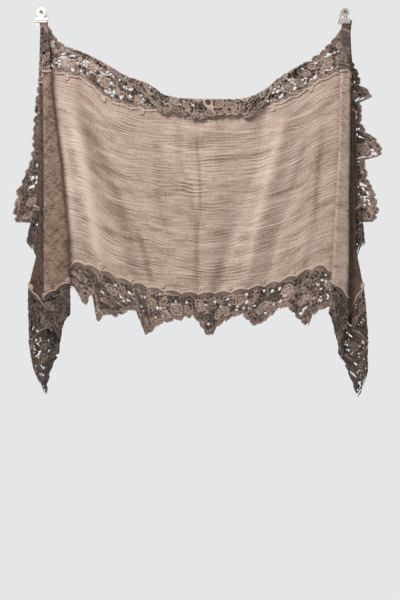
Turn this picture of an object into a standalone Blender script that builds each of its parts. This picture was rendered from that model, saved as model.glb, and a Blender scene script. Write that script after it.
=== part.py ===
"""Lace-edged gauze shawl hung by its top edge from two bulldog clips on nails.

Metres, +Z up.  The wall is the plane y = 0 and the shawl hangs in front of it, towards -Y.
The origin is on the wall, midway between the holes that the two clips hang by.  All the
sizes below are in millimetres and become metres where a mesh is made.
"""
import math
from collections import namedtuple

import bmesh
import bpy
import numpy as np

MM = 0.001
GAP = 0.5                 # between two pieces that are sewn edge to edge
FOLD_GAP = 0.9            # between two pieces that meet along a fold

# Cut of the shawl, laid flat: a rectangle of gauze with a lace border all round
TOP_LACE = 135.0          # top edge to gauze
GAUZE_WIDTH = 565.0       # gauze, from the top lace to the hem lace
LACE_VALLEY = 84.0        # border width between two points
LACE_POINT = 132.0        # border width at a point
LACE_REPEAT = 140.0       # from one point to the next
TAIL_GAUZE = 422.0        # gauze beyond each clip, to the end lace
CORNER_LOBE = 42.0        # how far the corner of the border stands out past its edges
SEAM = TOP_LACE + GAUZE_WIDTH

# Cloth
GAUZE_WALL = 1.2
LACE_WALL = 2.4
FELTED_WALL = 3.4         # the thick felted cord beside each seam
PINCHED_WALL = 1.15       # lace squeezed in a clip

# Hanging
CLIP_X = 408.0            # each clip's hole and its nail, from the middle
CLOTH_TOP_Z = -20.0       # top edge of the cloth, inside the clips
PINCH_LENGTH = 14.0       # cloth held flat by a clip
OPENING_LENGTH = 130.0    # below it, the layers spread to their full depth

# Where each fold of a tail lies at these drops below the cloth's top edge.  An inset is
# measured from the nail towards the middle, and an angle is that of the thread line that
# runs from the clip along the fold: 90 across the shawl, 0 along its top edge.
FOLD_DROPS = (0, 60, 200, 360, 470, 600, 740, 870, 1000)
Fold = namedtuple("Fold", "name angle insets")
LEFT_FOLDS = (
    Fold("pleat root", 90, (0, 14, 20, 27, 30, 35, 41, 45, 45)),
    Fold("pleat inner edge", 81, (14, 24, 34, 54, 65, 77, 81, 80, 66)),
    Fold("pleat outer edge", 69, (-6, 4, 9, 11, 11, 11, 11, 18, 22)),
    Fold("first under-fold", 61, (14, 22, 40, 62, 72, 78, 72, 52, 42)),
    Fold("lower corner fold", 54, (-3, -3, -4, -3, -4, -8, -34, -30, 0)),
    Fold("second under-fold", 46, (14, 20, 38, 58, 68, 72, 62, 48, 42)),
    Fold("side fold", 33, (-3, -4, -6, -8, -12, -38, -38, -30, 0)),
    Fold("third under-fold", 17, (14, 18, 34, 52, 62, 60, 55, 50, 46)),
)
RIGHT_FOLDS = (
    Fold("pleat root", 90, (-13, -5, -1, 4, 6, 11, 17, 18, 18)),
    Fold("pleat inner edge", 81, (1, 10, 17, 21, 27, 34, 41, 52, 50)),
    Fold("pleat outer edge", 69, (-19, -13, -11, -10, -8, -8, -5, -2, 0)),
    Fold("first under-fold", 61, (1, 12, 28, 46, 55, 52, 34, 20, 14)),
    Fold("lower corner fold", 54, (-16, -15, -18, -22, -26, -30, -52, -60, -58)),
    Fold("second under-fold", 46, (1, 11, 26, 44, 53, 50, 34, 18, 8)),
    Fold("side fold", 33, (-16, -17, -26, -34, -37, -54, -55, -55, -50)),
    Fold("third under-fold", 17, (1, 9, 22, 40, 50, 46, 36, 26, 16)),
)
# Free outer edge of each tail: the scallops and points of the lace
EdgePoint = namedtuple("EdgePoint", "drop inset")
LEFT_EDGE = tuple(EdgePoint(*row) for row in (
    (0, -6), (23, 0), (60, -4), (145, -11), (212, -19), (280, -24), (347, -29), (415, -47),
    (470, -72), (523, -77), (560, -66)))
RIGHT_EDGE = tuple(EdgePoint(*row) for row in (
    (0, -19), (60, -18), (104, -24), (145, -40), (172, -50), (200, -77), (223, -48), (262, -48),
    (296, -62), (319, -86), (358, -104), (380, -57), (435, -71), (471, -85), (515, -93), (560, -66)))

# The layers between those folds, from the pleat root outwards: distance from the wall
Layer = namedtuple("Layer", "name pinched open")
LAYERS = (
    Layer("pleat back", 21.6, 52),
    Layer("pleat front", 23.7, 62),
    Layer("under pleat", 17.2, 38),
    Layer("corner front", 15.2, 32),
    Layer("corner back", 13.2, 26),
    Layer("side front", 11.2, 20),
    Layer("side back", 9.2, 14),
    Layer("outer lace", 7.2, 8),
)
PANEL_LAYER = Layer("panel", 19.2, 45)
PLEAT_TILT = 8.0          # how much nearer the pleat's inner edge is than its outer edge
OUTER_RUFFLE = 9.0
RUFFLE_REPEAT = 92.0
TURN = 0.12               # share of a layer's width taken by the bend at each fold
COLUMN_STEPS = (0.0, TURN, 0.5, 1 - TURN)
OUTER_COLUMN_STEPS = (0.0, TURN, 0.35, 0.58, 0.79, 1.0)

# Which of those layers each piece of a tail reaches over, as fold numbers
GAUZE_LAST_FOLD = 6.88    # the gauze stops short of the last bend
END_LACE_FIRST_FOLD = 3.5
HEM_LACE_LAST_FOLD = 4 + TURN
OUTER_LACE_RUN_ON = 40.0  # the outer lace ends in a tip below the end lace
CORNER_ANGLE, CORNER_SPREAD = 57.0, 3.5   # thread lines that the corner lobe lies on
HEM_POINT_START = 0.2     # share of a repeat from the pleat root to the hem's first point

# Middle of the shawl: its outlines, as (x, z)
Outline = namedtuple("Outline", "x z")
SWAG_TOP = tuple(Outline(*row) for row in (
    (-420, -21), (-396, -22), (-386, -34), (-366, -68), (-333, -92), (-283, -114), (-217, -151),
    (-181, -172), (-116, -197), (-73, -226), (-15, -235), (57, -237), (130, -235), (188, -212),
    (231, -179), (296, -139), (332, -113), (368, -78), (394, -46), (407, -24), (430, -21)))
TOP_SEAM = tuple(Outline(*row) for row in (
    (-400, -155), (-305, -173), (-217, -236), (-157, -254), (-38, -267), (19, -270), (92, -268),
    (150, -264), (219, -246), (281, -219), (343, -180), (391, -162), (415, -155)))
HEM_SEAM = tuple(Outline(*row) for row in (
    (-375, -720), (-340, -694), (-305, -676), (-254, -692), (-157, -730), (-38, -754), (19, -757),
    (92, -753), (170, -740), (219, -728), (281, -706), (343, -684), (370, -700), (400, -720)))
HEM = tuple(Outline(*row) for row in (
    (-372, -808), (-322, -742), (-286, -790), (-272, -764), (-254, -834), (-232, -815),
    (-202, -819), (-159, -801), (-124, -868), (-87, -841), (-44, -830), (0, -823), (42, -871),
    (79, -837), (123, -815), (170, -843), (202, -823), (246, -794), (304, -843), (325, -812),
    (361, -794), (397, -808)))
# The top lace falls forwards over itself: length of that flap along the swag
Flap = namedtuple("Flap", "x length")
FLAP = tuple(Flap(*row) for row in (
    (-420, 6), (-385, 6), (-340, 9), (-283, 18), (-217, 26), (-150, 42), (-95, 62), (-40, 54),
    (10, 68), (60, 56), (110, 56), (150, 66), (200, 44), (240, 28), (300, 16), (350, 8),
    (395, 6), (430, 6)))
FLAP_BEND = 4.0           # radius of the bend at the top of the flap
FLAP_STRAIGHT = 100.0     # that radius next to a clip, where the lace stands straight
FLAP_LEAN = 0.08
FLAP_FREE = (15.0, 150.0)  # the flap's bend tightens between these distances from a clip
FLAP_ROWS = (0.09, 0.19, 0.58, 1.0)
STAND_CROWDING = 1.35     # the rows below the bend crowd towards it

# Soft folds of the middle, given by their x at these heights: a trough is pushed back
# towards the wall, a ridge (minus) comes forwards
SWAG_HEIGHTS = (-240, -370, -500, -640, -760)
SwagFold = namedtuple("SwagFold", "name places half_width depth")
SWAG_FOLDS = (
    SwagFold("left ridge", (-325, -310, -292, -262, -225), 24, -8),
    SwagFold("left trough", (-300, -262, -219, -160, -116), 25, 13),
    SwagFold("middle crease", (-30, -30, 5, 19, 19), 12, 5),
    SwagFold("middle ridge", (60, 60, 70, 60, 42), 26, -5),
    SwagFold("inner right trough", (200, 181, 143, 100, 65), 22, 10),
    SwagFold("inner right ridge", (250, 230, 200, 165, 130), 20, -6),
    SwagFold("right trough", (320, 305, 262, 221, 194), 20, 9),
    SwagFold("right ridge", (352, 345, 325, 300, 262), 18, -6),
    SwagFold("hem trough", (372, 362, 345, 318, 289), 14, 6),
)
SWAG_BELLY = 7.0
PANEL_TURN = 9.0          # width of the bend where the middle turns into a pleat
EDGE_CALM = (48.0, 135.0)  # the swag folds fade in between these distances from a pleat

# Mesh
COLUMN_WIDTH = 24.0
GAUZE_ROWS = 14
TAIL_GAUZE_ROWS = 9
HEM_LACE_ROWS = 4
STAND_ROWS = 5            # of the top lace, up to its bend
BUNCH_ROWS = 7
OUTER_LACE_ROWS = 17
HOLE_SIDES = 5
HOLE_SHARE = 0.74         # of a mesh cell's width and height

# Bulldog clips
CLIP_BAR_WIDTH = 31.0
CLIP_DISC_RADIUS = 13.2
CLIP_HOLE_RADIUS = 4.2
CLIP_NECK_WIDTH = 15.0
CLIP_DISC_ROWS = 7
CLIP_STEEL = 1.2
CLIP_GRIP = PINCHED_WALL / 2 + 0.3 + CLIP_STEEL / 2   # lip to the middle of the cloth it holds
FRONT_BAR_DEPTH, FRONT_DISC_DEPTH = 26.1, 21.0
BACK_BAR_DEPTH, BACK_DISC_DEPTH = 3.6, 0.6
FRONT_BULGE, BACK_BULGE = 1.6, -1.2    # of the ribs rolled across each half's bar
CLIP_SLANT = 1.6          # each clip's middle lies this far in from its nail
SPRING_FEET = (24.6, 5.1)  # distance from the wall of the spring's two feet
SPRING_LEG = ((-17.4, 1.0), (-14.2, 0.48), (-10.5, 0.24), (-9.0, 0.0))
NAIL_RADIUS = 1.7
NAIL_HEAD_RADIUS = 3.9
NAIL_REACH = 26.0
NAIL_RISE = CLIP_HOLE_RADIUS - NAIL_RADIUS - 0.3   # the upper edge of the hole hangs on the nail

LINEN_TAUPE = (0.41, 0.32, 0.26)
LACE_TAUPE = (0.33, 0.25, 0.20)
NICKEL = (0.78, 0.78, 0.76)
NAIL_STEEL = (0.20, 0.19, 0.18)

Tail = namedtuple("Tail", "name outward folds edge")
TAILS = (
    Tail("left", -1, LEFT_FOLDS, LEFT_EDGE),
    Tail("right", 1, RIGHT_FOLDS, RIGHT_EDGE),
)


def clear_scene():
    for thing in list(bpy.data.objects):
        bpy.data.objects.remove(thing, do_unlink=True)


def make_material(name, color, roughness, metallic=0.0):
    material = bpy.data.materials.new(name)
    material.use_nodes = True
    shader = material.node_tree.nodes["Principled BSDF"]
    shader.inputs["Base Color"].default_value = (*color, 1.0)
    shader.inputs["Roughness"].default_value = roughness
    shader.inputs["Metallic"].default_value = metallic
    return material


def smooth_step(value):
    value = np.clip(value, 0.0, 1.0)
    return value * value * (3 - 2 * value)


def curve_through(places, values, at):
    """Smooth curve through a short table, with no overshoot between two of its rows."""
    places = np.asarray(places, float)
    values = np.asarray(values, float)
    steps = np.diff(places)
    slopes = np.diff(values) / steps
    tangents = np.zeros(len(places))
    same_way = slopes[:-1] * slopes[1:] > 0
    mean = 2 * slopes[:-1] * slopes[1:] / np.where(same_way, slopes[:-1] + slopes[1:], 1.0)
    tangents[1:-1] = np.where(same_way, mean, 0.0)
    tangents[0], tangents[-1] = slopes[0], slopes[-1]
    at = np.clip(at, places[0], places[-1])
    row = np.clip(np.searchsorted(places, at, side="right") - 1, 0, len(steps) - 1)
    t = (at - places[row]) / steps[row]
    rise = t * t * (3 - 2 * t)
    bow = steps[row] * (tangents[row] * t * (1 - t) ** 2 - tangents[row + 1] * t * t * (1 - t))
    return values[row] + (values[row + 1] - values[row]) * rise + bow


def outline_at(outline, x):
    return curve_through([point.x for point in outline], [point.z for point in outline], x)


def opened(drop):
    """0 in the clip, 1 where the layers have spread to their full depth."""
    return smooth_step((drop - PINCH_LENGTH) / OPENING_LENGTH)


def layer_depth(layer, drop):
    return layer.pinched + (layer.open - layer.pinched) * opened(drop)


def lace_width(along):
    """Width of the border at a distance along it: a point in the middle of each repeat."""
    phase = np.abs((along / LACE_REPEAT) % 1.0 - 0.5) * 2
    return LACE_VALLEY + (LACE_POINT - LACE_VALLEY) * (1 - phase) ** 1.4


def lace_wall(drop):
    return PINCHED_WALL + (LACE_WALL - PINCHED_WALL) * smooth_step((drop - 20) / 100)


# Tails: a point of the cloth is named by its fold number, a real number whose whole part
# is the layer it lies in, and by its drop, the length of thread line from the clip to it.

def fold_inset(tail, number, drop):
    if number < len(tail.folds):
        return curve_through(FOLD_DROPS, tail.folds[number].insets, drop)
    return curve_through([p.drop for p in tail.edge], [p.inset for p in tail.edge], drop)


def thread_angle(tail, fold_number):
    angles = [fold.angle for fold in tail.folds] + [0]
    return np.radians(np.interp(fold_number, range(len(angles)), angles))


def bend_share(part, free_end):
    """Sideways travel over a layer: an ellipse's quarter at each bend, straight between."""
    start = TURN * (1 - np.cos(np.clip(part / TURN, 0, 1) * math.pi / 2))
    end = TURN * (1 - np.cos(np.clip((1 - part) / TURN, 0, 1) * math.pi / 2))
    far = part if free_end else np.where(part > 1 - TURN, 1 - end, part)
    return np.where(part < TURN, start, far)


def tail_place(tail, fold_number, drop):
    fold_number, drop = np.broadcast_arrays(np.asarray(fold_number, float), drop)
    places = np.zeros(fold_number.shape + (3,))
    last = len(LAYERS) - 1
    for number, layer in enumerate(LAYERS):
        here = (np.clip(np.floor(fold_number), 0, last) == number)
        if not here.any():
            continue
        part, fall = fold_number[here] - number, drop[here]
        start, end = fold_inset(tail, number, fall), fold_inset(tail, number + 1, fall)
        inset = start + (end - start) * bend_share(part, number == last)
        depth = layer_depth(layer, fall)
        before = layer_depth(PANEL_LAYER if number == 0 else LAYERS[number - 1], fall)
        after = layer_depth(LAYERS[min(number + 1, last)], fall)
        tilt = PLEAT_TILT * opened(fall)
        if layer.name == "pleat front":
            depth = depth + tilt * (0.5 - part)
        if number == 0:
            after = after + tilt / 2
        if number == 2:
            before = before - tilt / 2
        half_before = (before - depth) / 2 * (1 - np.sin(np.clip(part / TURN, 0, 1) * math.pi / 2))
        half_after = (after - depth) / 2 * (1 - np.sin(np.clip((1 - part) / TURN, 0, 1) * math.pi / 2))
        if number == last:
            half_after = 0.0
            swell = smooth_step((part - 0.72) / 0.28) * opened(fall)
            depth = depth + OUTER_RUFFLE * swell * np.sin(fall / RUFFLE_REPEAT * math.pi) ** 2
        places[here, 0] = tail.outward * (CLIP_X - inset)
        places[here, 1] = -(depth + half_before + half_after)
        places[here, 2] = CLOTH_TOP_Z - fall
    return places


def fold_columns(first, last):
    """Fold numbers of the mesh columns from first to last: some at each bend and between."""
    inner = [layer + step for layer in range(int(last) + 1) for step in COLUMN_STEPS]
    return np.array([first] + [n for n in inner if first + 0.02 < n < last - 0.02] + [last])


# Middle of the shawl: a point is named by its share of the way across and by its height.

def middle_ends(z):
    drop = CLOTH_TOP_Z - z
    left, right = (fold_inset(tail, 0, drop) for tail in TAILS)
    return -CLIP_X + left, CLIP_X - right


def swag_relief(x, z):
    relief = np.zeros(x.shape)
    for fold in SWAG_FOLDS:
        middle = curve_through([-h for h in SWAG_HEIGHTS], fold.places, -z)
        relief += fold.depth * np.exp(-((x - middle) / fold.half_width) ** 2)
    return relief + SWAG_BELLY * ((z + 500) / 300) ** 2


def middle_place(share, z):
    share, z = np.broadcast_arrays(np.asarray(share, float), z)
    left, right = middle_ends(z)
    from_left, from_right = share * (right - left), (1 - share) * (right - left)
    near = np.minimum(from_left, from_right)
    turn = np.clip(near / PANEL_TURN, 0, 1)
    cut_back = PANEL_TURN * (1 - np.cos(turn * math.pi / 2)) - PANEL_TURN * turn
    x = left + from_left + np.where(from_left < from_right, cut_back, -cut_back)
    drop = CLOTH_TOP_Z - z
    panel, pleat = layer_depth(PANEL_LAYER, drop), layer_depth(LAYERS[0], drop)
    free = smooth_step((near - EDGE_CALM[0]) / (EDGE_CALM[1] - EDGE_CALM[0]))
    bend = (pleat - panel) / 2 * (1 - np.sin(turn * math.pi / 2))
    depth = panel + bend - free * swag_relief(x, z)
    return np.stack([x, -depth, z], axis=-1)


def meet_outline(shares, outline):
    """Height and x at which each thread line of the middle meets an outline."""
    z = np.full(len(shares), float(outline[len(outline) // 2].z))
    for _ in range(8):
        x = middle_place(shares, z)[:, 0]
        z = (z + outline_at(outline, x)) / 2
    return outline_at(outline, x), x


def middle_columns():
    """Shares across the middle: a column at each point and valley of the hem, more between."""
    left, right = middle_ends(np.array(-820.0))
    width = float(right - left)
    shares = [0.0, PANEL_TURN / width]
    stops = [(p.x - float(left)) / width for p in HEM[1:-1]] + [1 - PANEL_TURN / width]
    for stop in stops:
        count = max(1, round((stop - shares[-1]) * width / COLUMN_WIDTH))
        shares += list(np.linspace(shares[-1], stop, count + 1)[1:])
    return np.array(shares + [1.0])


# Walls

def unit(vectors):
    return vectors / np.maximum(np.linalg.norm(vectors, axis=-1, keepdims=True), 1e-9)


def surface_normals(place, across, along, across_step, along_step):
    """Normals of a surface given by a function, from two short steps on it."""
    ahead = place(across + across_step, along) - place(across - across_step, along)
    down = place(across, along + along_step) - place(across, along - along_step)
    return unit(np.cross(down, ahead))


def hole_ring(row, column):
    """One uneven opening in a mesh cell, as shares of the cell's height and width."""
    lean = 0.5 * math.sin(2.1 * row + 3.7 * column)
    points = []
    for corner in range(HOLE_SIDES):
        angle = 2 * math.pi * corner / HOLE_SIDES + lean
        reach = HOLE_SHARE / 2 * (1 + 0.16 * math.sin(5.3 * corner + row + 2 * column))
        points.append((0.5 + reach * math.sin(angle), 0.5 + reach * math.cos(angle)))
    return points


def cloth_wall(name, middle, normals, wall, holes, material):
    """Closed wall round a grid of middle points; holes is a set of cells cut right through."""
    rows, columns = middle.shape[:2]
    half = np.broadcast_to(np.asarray(wall, float), (rows, columns))[..., None] / 2
    sides = [middle + normals * half, middle - normals * half]
    vertices = [tuple(v) for side in sides for v in side.reshape(-1, 3)]
    faces = []

    def at(side, row, column):
        return side * rows * columns + row * columns + column

    for row in range(rows - 1):
        for column in range(columns - 1):
            ring = ((row, column), (row, column + 1), (row + 1, column + 1), (row + 1, column))
            front = [at(0, *corner) for corner in ring]
            back = [at(1, *corner) for corner in ring]
            if (row, column) not in holes:
                for a, b, c in ((0, 1, 2), (0, 2, 3)):
                    faces += [[front[a], front[b], front[c]], [back[c], back[b], back[a]]]
                continue
            shares = hole_ring(row, column)
            inner = []
            for side in sides:
                corners = [side[corner] for corner in ring]
                inner.append([])
                for s, t in shares:
                    point = ((1 - s) * ((1 - t) * corners[0] + t * corners[1])
                             + s * ((1 - t) * corners[3] + t * corners[2]))
                    inner[-1].append(len(vertices))
                    vertices.append(tuple(point))
            for ends in ring_faces(shares):
                faces.append([front[k] if kind == "corner" else inner[0][k] for kind, k in ends])
                faces.append([back[k] if kind == "corner" else inner[1][k] for kind, k in ends][::-1])
            for k in range(len(shares)):
                after = (k + 1) % len(shares)
                faces.append([inner[0][k], inner[0][after], inner[1][after], inner[1][k]])
    border = ([(0, c) for c in range(columns)] + [(r, columns - 1) for r in range(1, rows)]
              + [(rows - 1, c) for c in range(columns - 2, -1, -1)]
              + [(r, 0) for r in range(rows - 2, 0, -1)])
    for here, after in zip(border, border[1:] + border[:1]):
        faces.append([at(0, *after), at(0, *here), at(1, *here), at(1, *after)])
    return add_object(name, vertices, faces, material)


def ring_faces(shares):
    """Triangles between a cell's four corners and the points of its hole, in order."""
    corner_angles = [math.atan2(t - 0.5, s - 0.5) for s, t in ((0, 0), (0, 1), (1, 1), (1, 0))]
    count = len(shares)

    def nearest(k):
        s = (shares[k][0] + shares[(k + 1) % count][0]) / 2
        t = (shares[k][1] + shares[(k + 1) % count][1]) / 2
        angle = math.atan2(t - 0.5, s - 0.5)
        gaps = [abs((angle - c + math.pi) % (2 * math.pi) - math.pi) for c in corner_angles]
        return gaps.index(min(gaps))

    triangles = []
    for k in range(count):
        after = (k + 1) % count
        corner, next_corner = nearest(k), nearest(after)
        triangles.append([("hole", after), ("hole", k), ("corner", corner)])
        step = -1 if (corner - next_corner) % 4 <= 2 else 1
        while corner != next_corner:
            triangles.append([("hole", after), ("corner", corner), ("corner", (corner + step) % 4)])
            corner = (corner + step) % 4
    return triangles


def add_object(name, vertices, faces, material):
    mesh = bpy.data.meshes.new(name)
    mesh.from_pydata([tuple(c * MM for c in v) for v in vertices], [], faces)
    work = bmesh.new()
    work.from_mesh(mesh)
    bmesh.ops.triangulate(work, faces=work.faces)
    bmesh.ops.recalc_face_normals(work, faces=work.faces)
    if work.calc_volume(signed=True) < 0:
        bmesh.ops.reverse_faces(work, faces=work.faces)
    work.to_mesh(mesh)
    work.free()
    mesh.materials.append(material)
    thing = bpy.data.objects.new(name, mesh)
    bpy.context.collection.objects.link(thing)
    return thing


def spread_rows(start, end, count, start_gap, end_gap):
    """Rows of drops or heights from start to end, a little short of each where it is sewn."""
    way = np.sign(end - start)
    start, end = start + way * start_gap / 2, end - way * end_gap / 2
    return start + (end - start) * np.linspace(0, 1, count + 1)[:, None]


def part_at_fold(middle, column, layer_side):
    """Draw a piece's edge column back along its bend, clear of the piece it joins there."""
    middle[:, column, 1] += layer_side * FOLD_GAP / 2


def felted_beside_seam(wall, seam_row):
    """The lace thins to the gauze's wall at the seam, with a thick felted cord next to it."""
    beside = 1 if seam_row == 0 else -2
    wall = wall.copy()
    wall[beside] *= FELTED_WALL / LACE_WALL
    wall[seam_row] = GAUZE_WALL
    return wall


def lace_holes(rows, columns, chosen):
    """Cells of a lace piece to cut right through, row by row along it."""
    return {(row, column) for row in range(rows) for column in range(columns)
            if chosen(row, column)}


# The pieces of the middle

def build_middle(gauze, lace):
    shares = middle_columns()
    top_seam = meet_outline(shares, TOP_SEAM)[0]
    hem_seam = meet_outline(shares, HEM_SEAM)[0]
    heights = spread_rows(top_seam, hem_seam, GAUZE_ROWS, GAP, GAP)
    add_middle("gauze_centre", shares, heights, GAUZE_WALL, set(), gauze)
    build_hem_lace(shares, hem_seam, lace)
    build_top_lace(shares, top_seam, lace)


def build_hem_lace(shares, seam, lace):
    heights = spread_rows(seam, meet_outline(shares, HEM)[0], HEM_LACE_ROWS, GAP, 0)
    wall = felted_beside_seam(np.full(heights.shape, LACE_WALL), 0)
    count = len(shares) - 1
    repeat = ((0, 1), (1, 0), (1, 2), (2, 1))
    holes = lace_holes(HEM_LACE_ROWS, count, lambda r, c: 2 < c < count - 3 and (r, c % 3) in repeat)
    add_middle("lace_hem_centre", shares, heights, wall, holes, lace)


def add_middle(name, shares, heights, wall, holes, material):
    """Piece of the middle over rows of heights, with its ends turned to meet the pleats."""
    shares = np.broadcast_to(shares, heights.shape)
    middle = middle_place(shares, heights)
    normals = surface_normals(middle_place, shares, heights, 2e-4, 1.0)
    for column, share in ((0, 0.0), (-1, 1.0)):
        normals[:, column] = end_normals(shares[:, column], heights[:, column], share)
        part_at_fold(middle, column, 1)
    return cloth_wall(name, middle, normals, wall, holes, material)


def end_normals(shares, heights, share):
    """At its ends the middle turns into a pleat, and faces straight along the wall."""
    facing = np.zeros(heights.shape + (3,))
    facing[..., 0] = -1.0 if share == 0 else 1.0
    inside = surface_normals(middle_place, np.full(shares.shape, 0.5), heights, 2e-4, 1.0)
    return facing * (1.0 if inside[0, 1] > 0 else -1.0)


def top_lace_place(shares, length, seam, rise, bend_radius):
    """Up from the seam to the top of the swag, over a bend, and down in front as a flap."""
    places = middle_place(shares, seam + np.minimum(length, rise))
    over = np.maximum(length - rise, 0.0)
    bend = np.minimum(over / bend_radius, math.pi)
    hang = over - bend * bend_radius
    places[..., 1] -= bend_radius * (1 - np.cos(bend)) + FLAP_LEAN * hang
    places[..., 2] += bend_radius * np.sin(bend) - hang
    return places


def build_top_lace(shares, seam, lace):
    top, top_x = meet_outline(shares, SWAG_TOP)
    flap = curve_through([f.x for f in FLAP], [f.length for f in FLAP], top_x)
    bent = smooth_step((CLIP_X - FLAP_FREE[0] - np.abs(top_x)) / FLAP_FREE[1])
    bend_radius = FLAP_BEND * (FLAP_STRAIGHT / FLAP_BEND) ** (1 - bent)
    over_top = bend_radius * np.sin(np.minimum(flap / bend_radius, math.pi / 2))
    rise = top - over_top - seam
    parts = 1 - np.linspace(1, 0, STAND_ROWS + 1) ** STAND_CROWDING
    stand = [GAP / 2 + (rise - GAP / 2) * part for part in parts]
    fall = [rise + flap * part for part in FLAP_ROWS]
    lengths = np.stack(stand + fall)
    flat = np.broadcast_to(shares, lengths.shape)

    def place(across, along):
        return top_lace_place(across, along, seam, rise, bend_radius)

    middle = place(flat, lengths)
    normals = surface_normals(place, flat, lengths, 2e-4, 0.4)
    for column, share in ((0, 0.0), (-1, 1.0)):
        normals[:, column] = end_normals(flat[:, column], np.full(len(lengths), -500.0), share)
        part_at_fold(middle, column, 1)
    drop = CLOTH_TOP_Z - middle[..., 2]
    wall = felted_beside_seam(lace_wall(drop), 0)
    holes = lace_holes(len(lengths) - 1, len(shares) - 1, lambda r, c: top_hole(r, c, len(shares) - 1))
    cloth_wall("lace_top_centre", middle, normals, wall, holes, lace)


def top_hole(row, column, columns):
    """Openings show where the lace stands near a clip, and in the flap between them."""
    from_end = min(column, columns - 1 - column)
    stands = row in (1, 2, 3) and 2 < from_end < 12 and (column + row) % 2
    falls = row > STAND_ROWS + 1 and from_end > 8 and (column + row) % 3 != 1
    return bool(stands or falls)


# The pieces of a tail

def add_tail_piece(name, tail, columns, drops, wall, holes, material):
    """Piece of a tail over columns of fold numbers, clear of the pieces at its own folds."""
    numbers = np.broadcast_to(columns[None, :], drops.shape)

    def place(across, along):
        return tail_place(tail, across, along)

    middle = place(numbers, drops)
    inner = np.clip(numbers, 0.003, len(LAYERS) - 0.003)
    normals = surface_normals(place, inner, drops, 0.002, 1.0)
    if columns[0] == 0:
        part_at_fold(middle, 0, -1)
    if columns[0] == len(LAYERS) - 1:
        part_at_fold(middle, 0, 1)
    if columns[-1] == len(LAYERS) - 1:
        part_at_fold(middle, -1, -1)
    return cloth_wall(f"{name}_{tail.name}", middle, normals, wall, holes, material)


def build_tail_gauze(tail, gauze):
    columns = fold_columns(0, GAUZE_LAST_FOLD)
    angle = thread_angle(tail, columns)
    end_seam = TAIL_GAUZE / np.maximum(np.cos(angle), 1e-6)
    end = np.minimum(end_seam, SEAM / np.sin(angle))
    drops = spread_rows(TOP_LACE / np.sin(angle), end, TAIL_GAUZE_ROWS, GAP, GAP)
    add_tail_piece("gauze_tail", tail, columns, drops, GAUZE_WALL, set(), gauze)


def build_bunched_lace(tail, lace):
    """Top lace of the tail, gathered in the clip in all its layers but the last."""
    columns = fold_columns(0, len(LAYERS) - 1)
    end = TOP_LACE / np.sin(thread_angle(tail, columns))
    drops = spread_rows(np.ones(len(columns)), end, BUNCH_ROWS, 0, GAP)
    wide = [c for c, n in enumerate(columns) if n % 1 in (TURN, 0.5) and n >= 1]
    holes = {(row, column) for row in (3, 4, 5) for column in wide if (row + column // 2) % 2}
    wall = lace_wall(drops)
    wall[-1] = GAUZE_WALL
    add_tail_piece("lace_bunch", tail, columns, drops, wall, holes, lace)


def build_outer_lace(tail, lace):
    """The rest of the top lace, which hangs down as the tail's outer edge."""
    columns = len(LAYERS) - 1 + np.array(OUTER_COLUMN_STEPS)
    width = lace_width(np.zeros(len(columns)))
    end = (TAIL_GAUZE + width + OUTER_LACE_RUN_ON) / np.cos(thread_angle(tail, columns))
    drops = spread_rows(np.ones(len(columns)), end, OUTER_LACE_ROWS, 0, 0)
    holes = lace_holes(OUTER_LACE_ROWS, len(columns) - 1, lambda r, c: r > 2 and c > 0 and (r + c) % 2)
    add_tail_piece("lace_outer", tail, columns, drops, lace_wall(drops), holes, lace)


def build_end_lace(tail, lace):
    columns = fold_columns(END_LACE_FIRST_FOLD, len(LAYERS) - 1)
    angle = thread_angle(tail, columns)
    hem_seam = SEAM / np.sin(angle)
    start = np.maximum(TAIL_GAUZE / np.cos(angle), TOP_LACE / np.sin(angle))
    width = lace_width(TAIL_GAUZE * np.tan(angle))
    end = np.minimum((TAIL_GAUZE + width) / np.cos(angle), hem_seam)
    drops = spread_rows(start, end, HEM_LACE_ROWS, GAP, GAP)
    wall = np.full(drops.shape, LACE_WALL)
    wall[0] = GAUZE_WALL
    wall[-1, end >= hem_seam] = GAUZE_WALL
    holes = lace_holes(HEM_LACE_ROWS, len(columns) - 1, lambda r, c: (
        columns[c] % 1 in (TURN, 0.5) and 3.9 < columns[c] < 6.8 and (r + c) % 4 != 0))
    add_tail_piece("lace_end", tail, columns, drops, wall, holes, lace)


def build_tail_hem(tail, lace):
    """Hem lace of the tail: it goes round the corner of the shawl in one lobe."""
    columns = fold_columns(0, HEM_LACE_LAST_FOLD)
    angle = thread_angle(tail, columns)
    lobe = CORNER_LOBE * np.exp(-((np.degrees(angle) - CORNER_ANGLE) / CORNER_SPREAD) ** 2)
    width = lace_width(SEAM / np.tan(angle) + LACE_REPEAT * HEM_POINT_START) + lobe
    end_edge = (TAIL_GAUZE + LACE_POINT + lobe) / np.maximum(np.cos(angle), 1e-6)
    end = np.minimum((SEAM + width) / np.sin(angle), end_edge)
    drops = spread_rows(SEAM / np.sin(angle), end, HEM_LACE_ROWS, GAP, 0)
    wall = np.full(drops.shape, LACE_WALL)
    wall[0] = GAUZE_WALL
    holes = lace_holes(HEM_LACE_ROWS, len(columns) - 1, lambda r, c: (
        columns[c] % 1 in (TURN, 0.5) and columns[c] < 3.9 and (r + c) % 4 != 1))
    add_tail_piece("lace_hem", tail, columns, drops, wall, holes, lace)


# Clips and nails

ClipRow = namedtuple("ClipRow", "z depth half_width")


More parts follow.
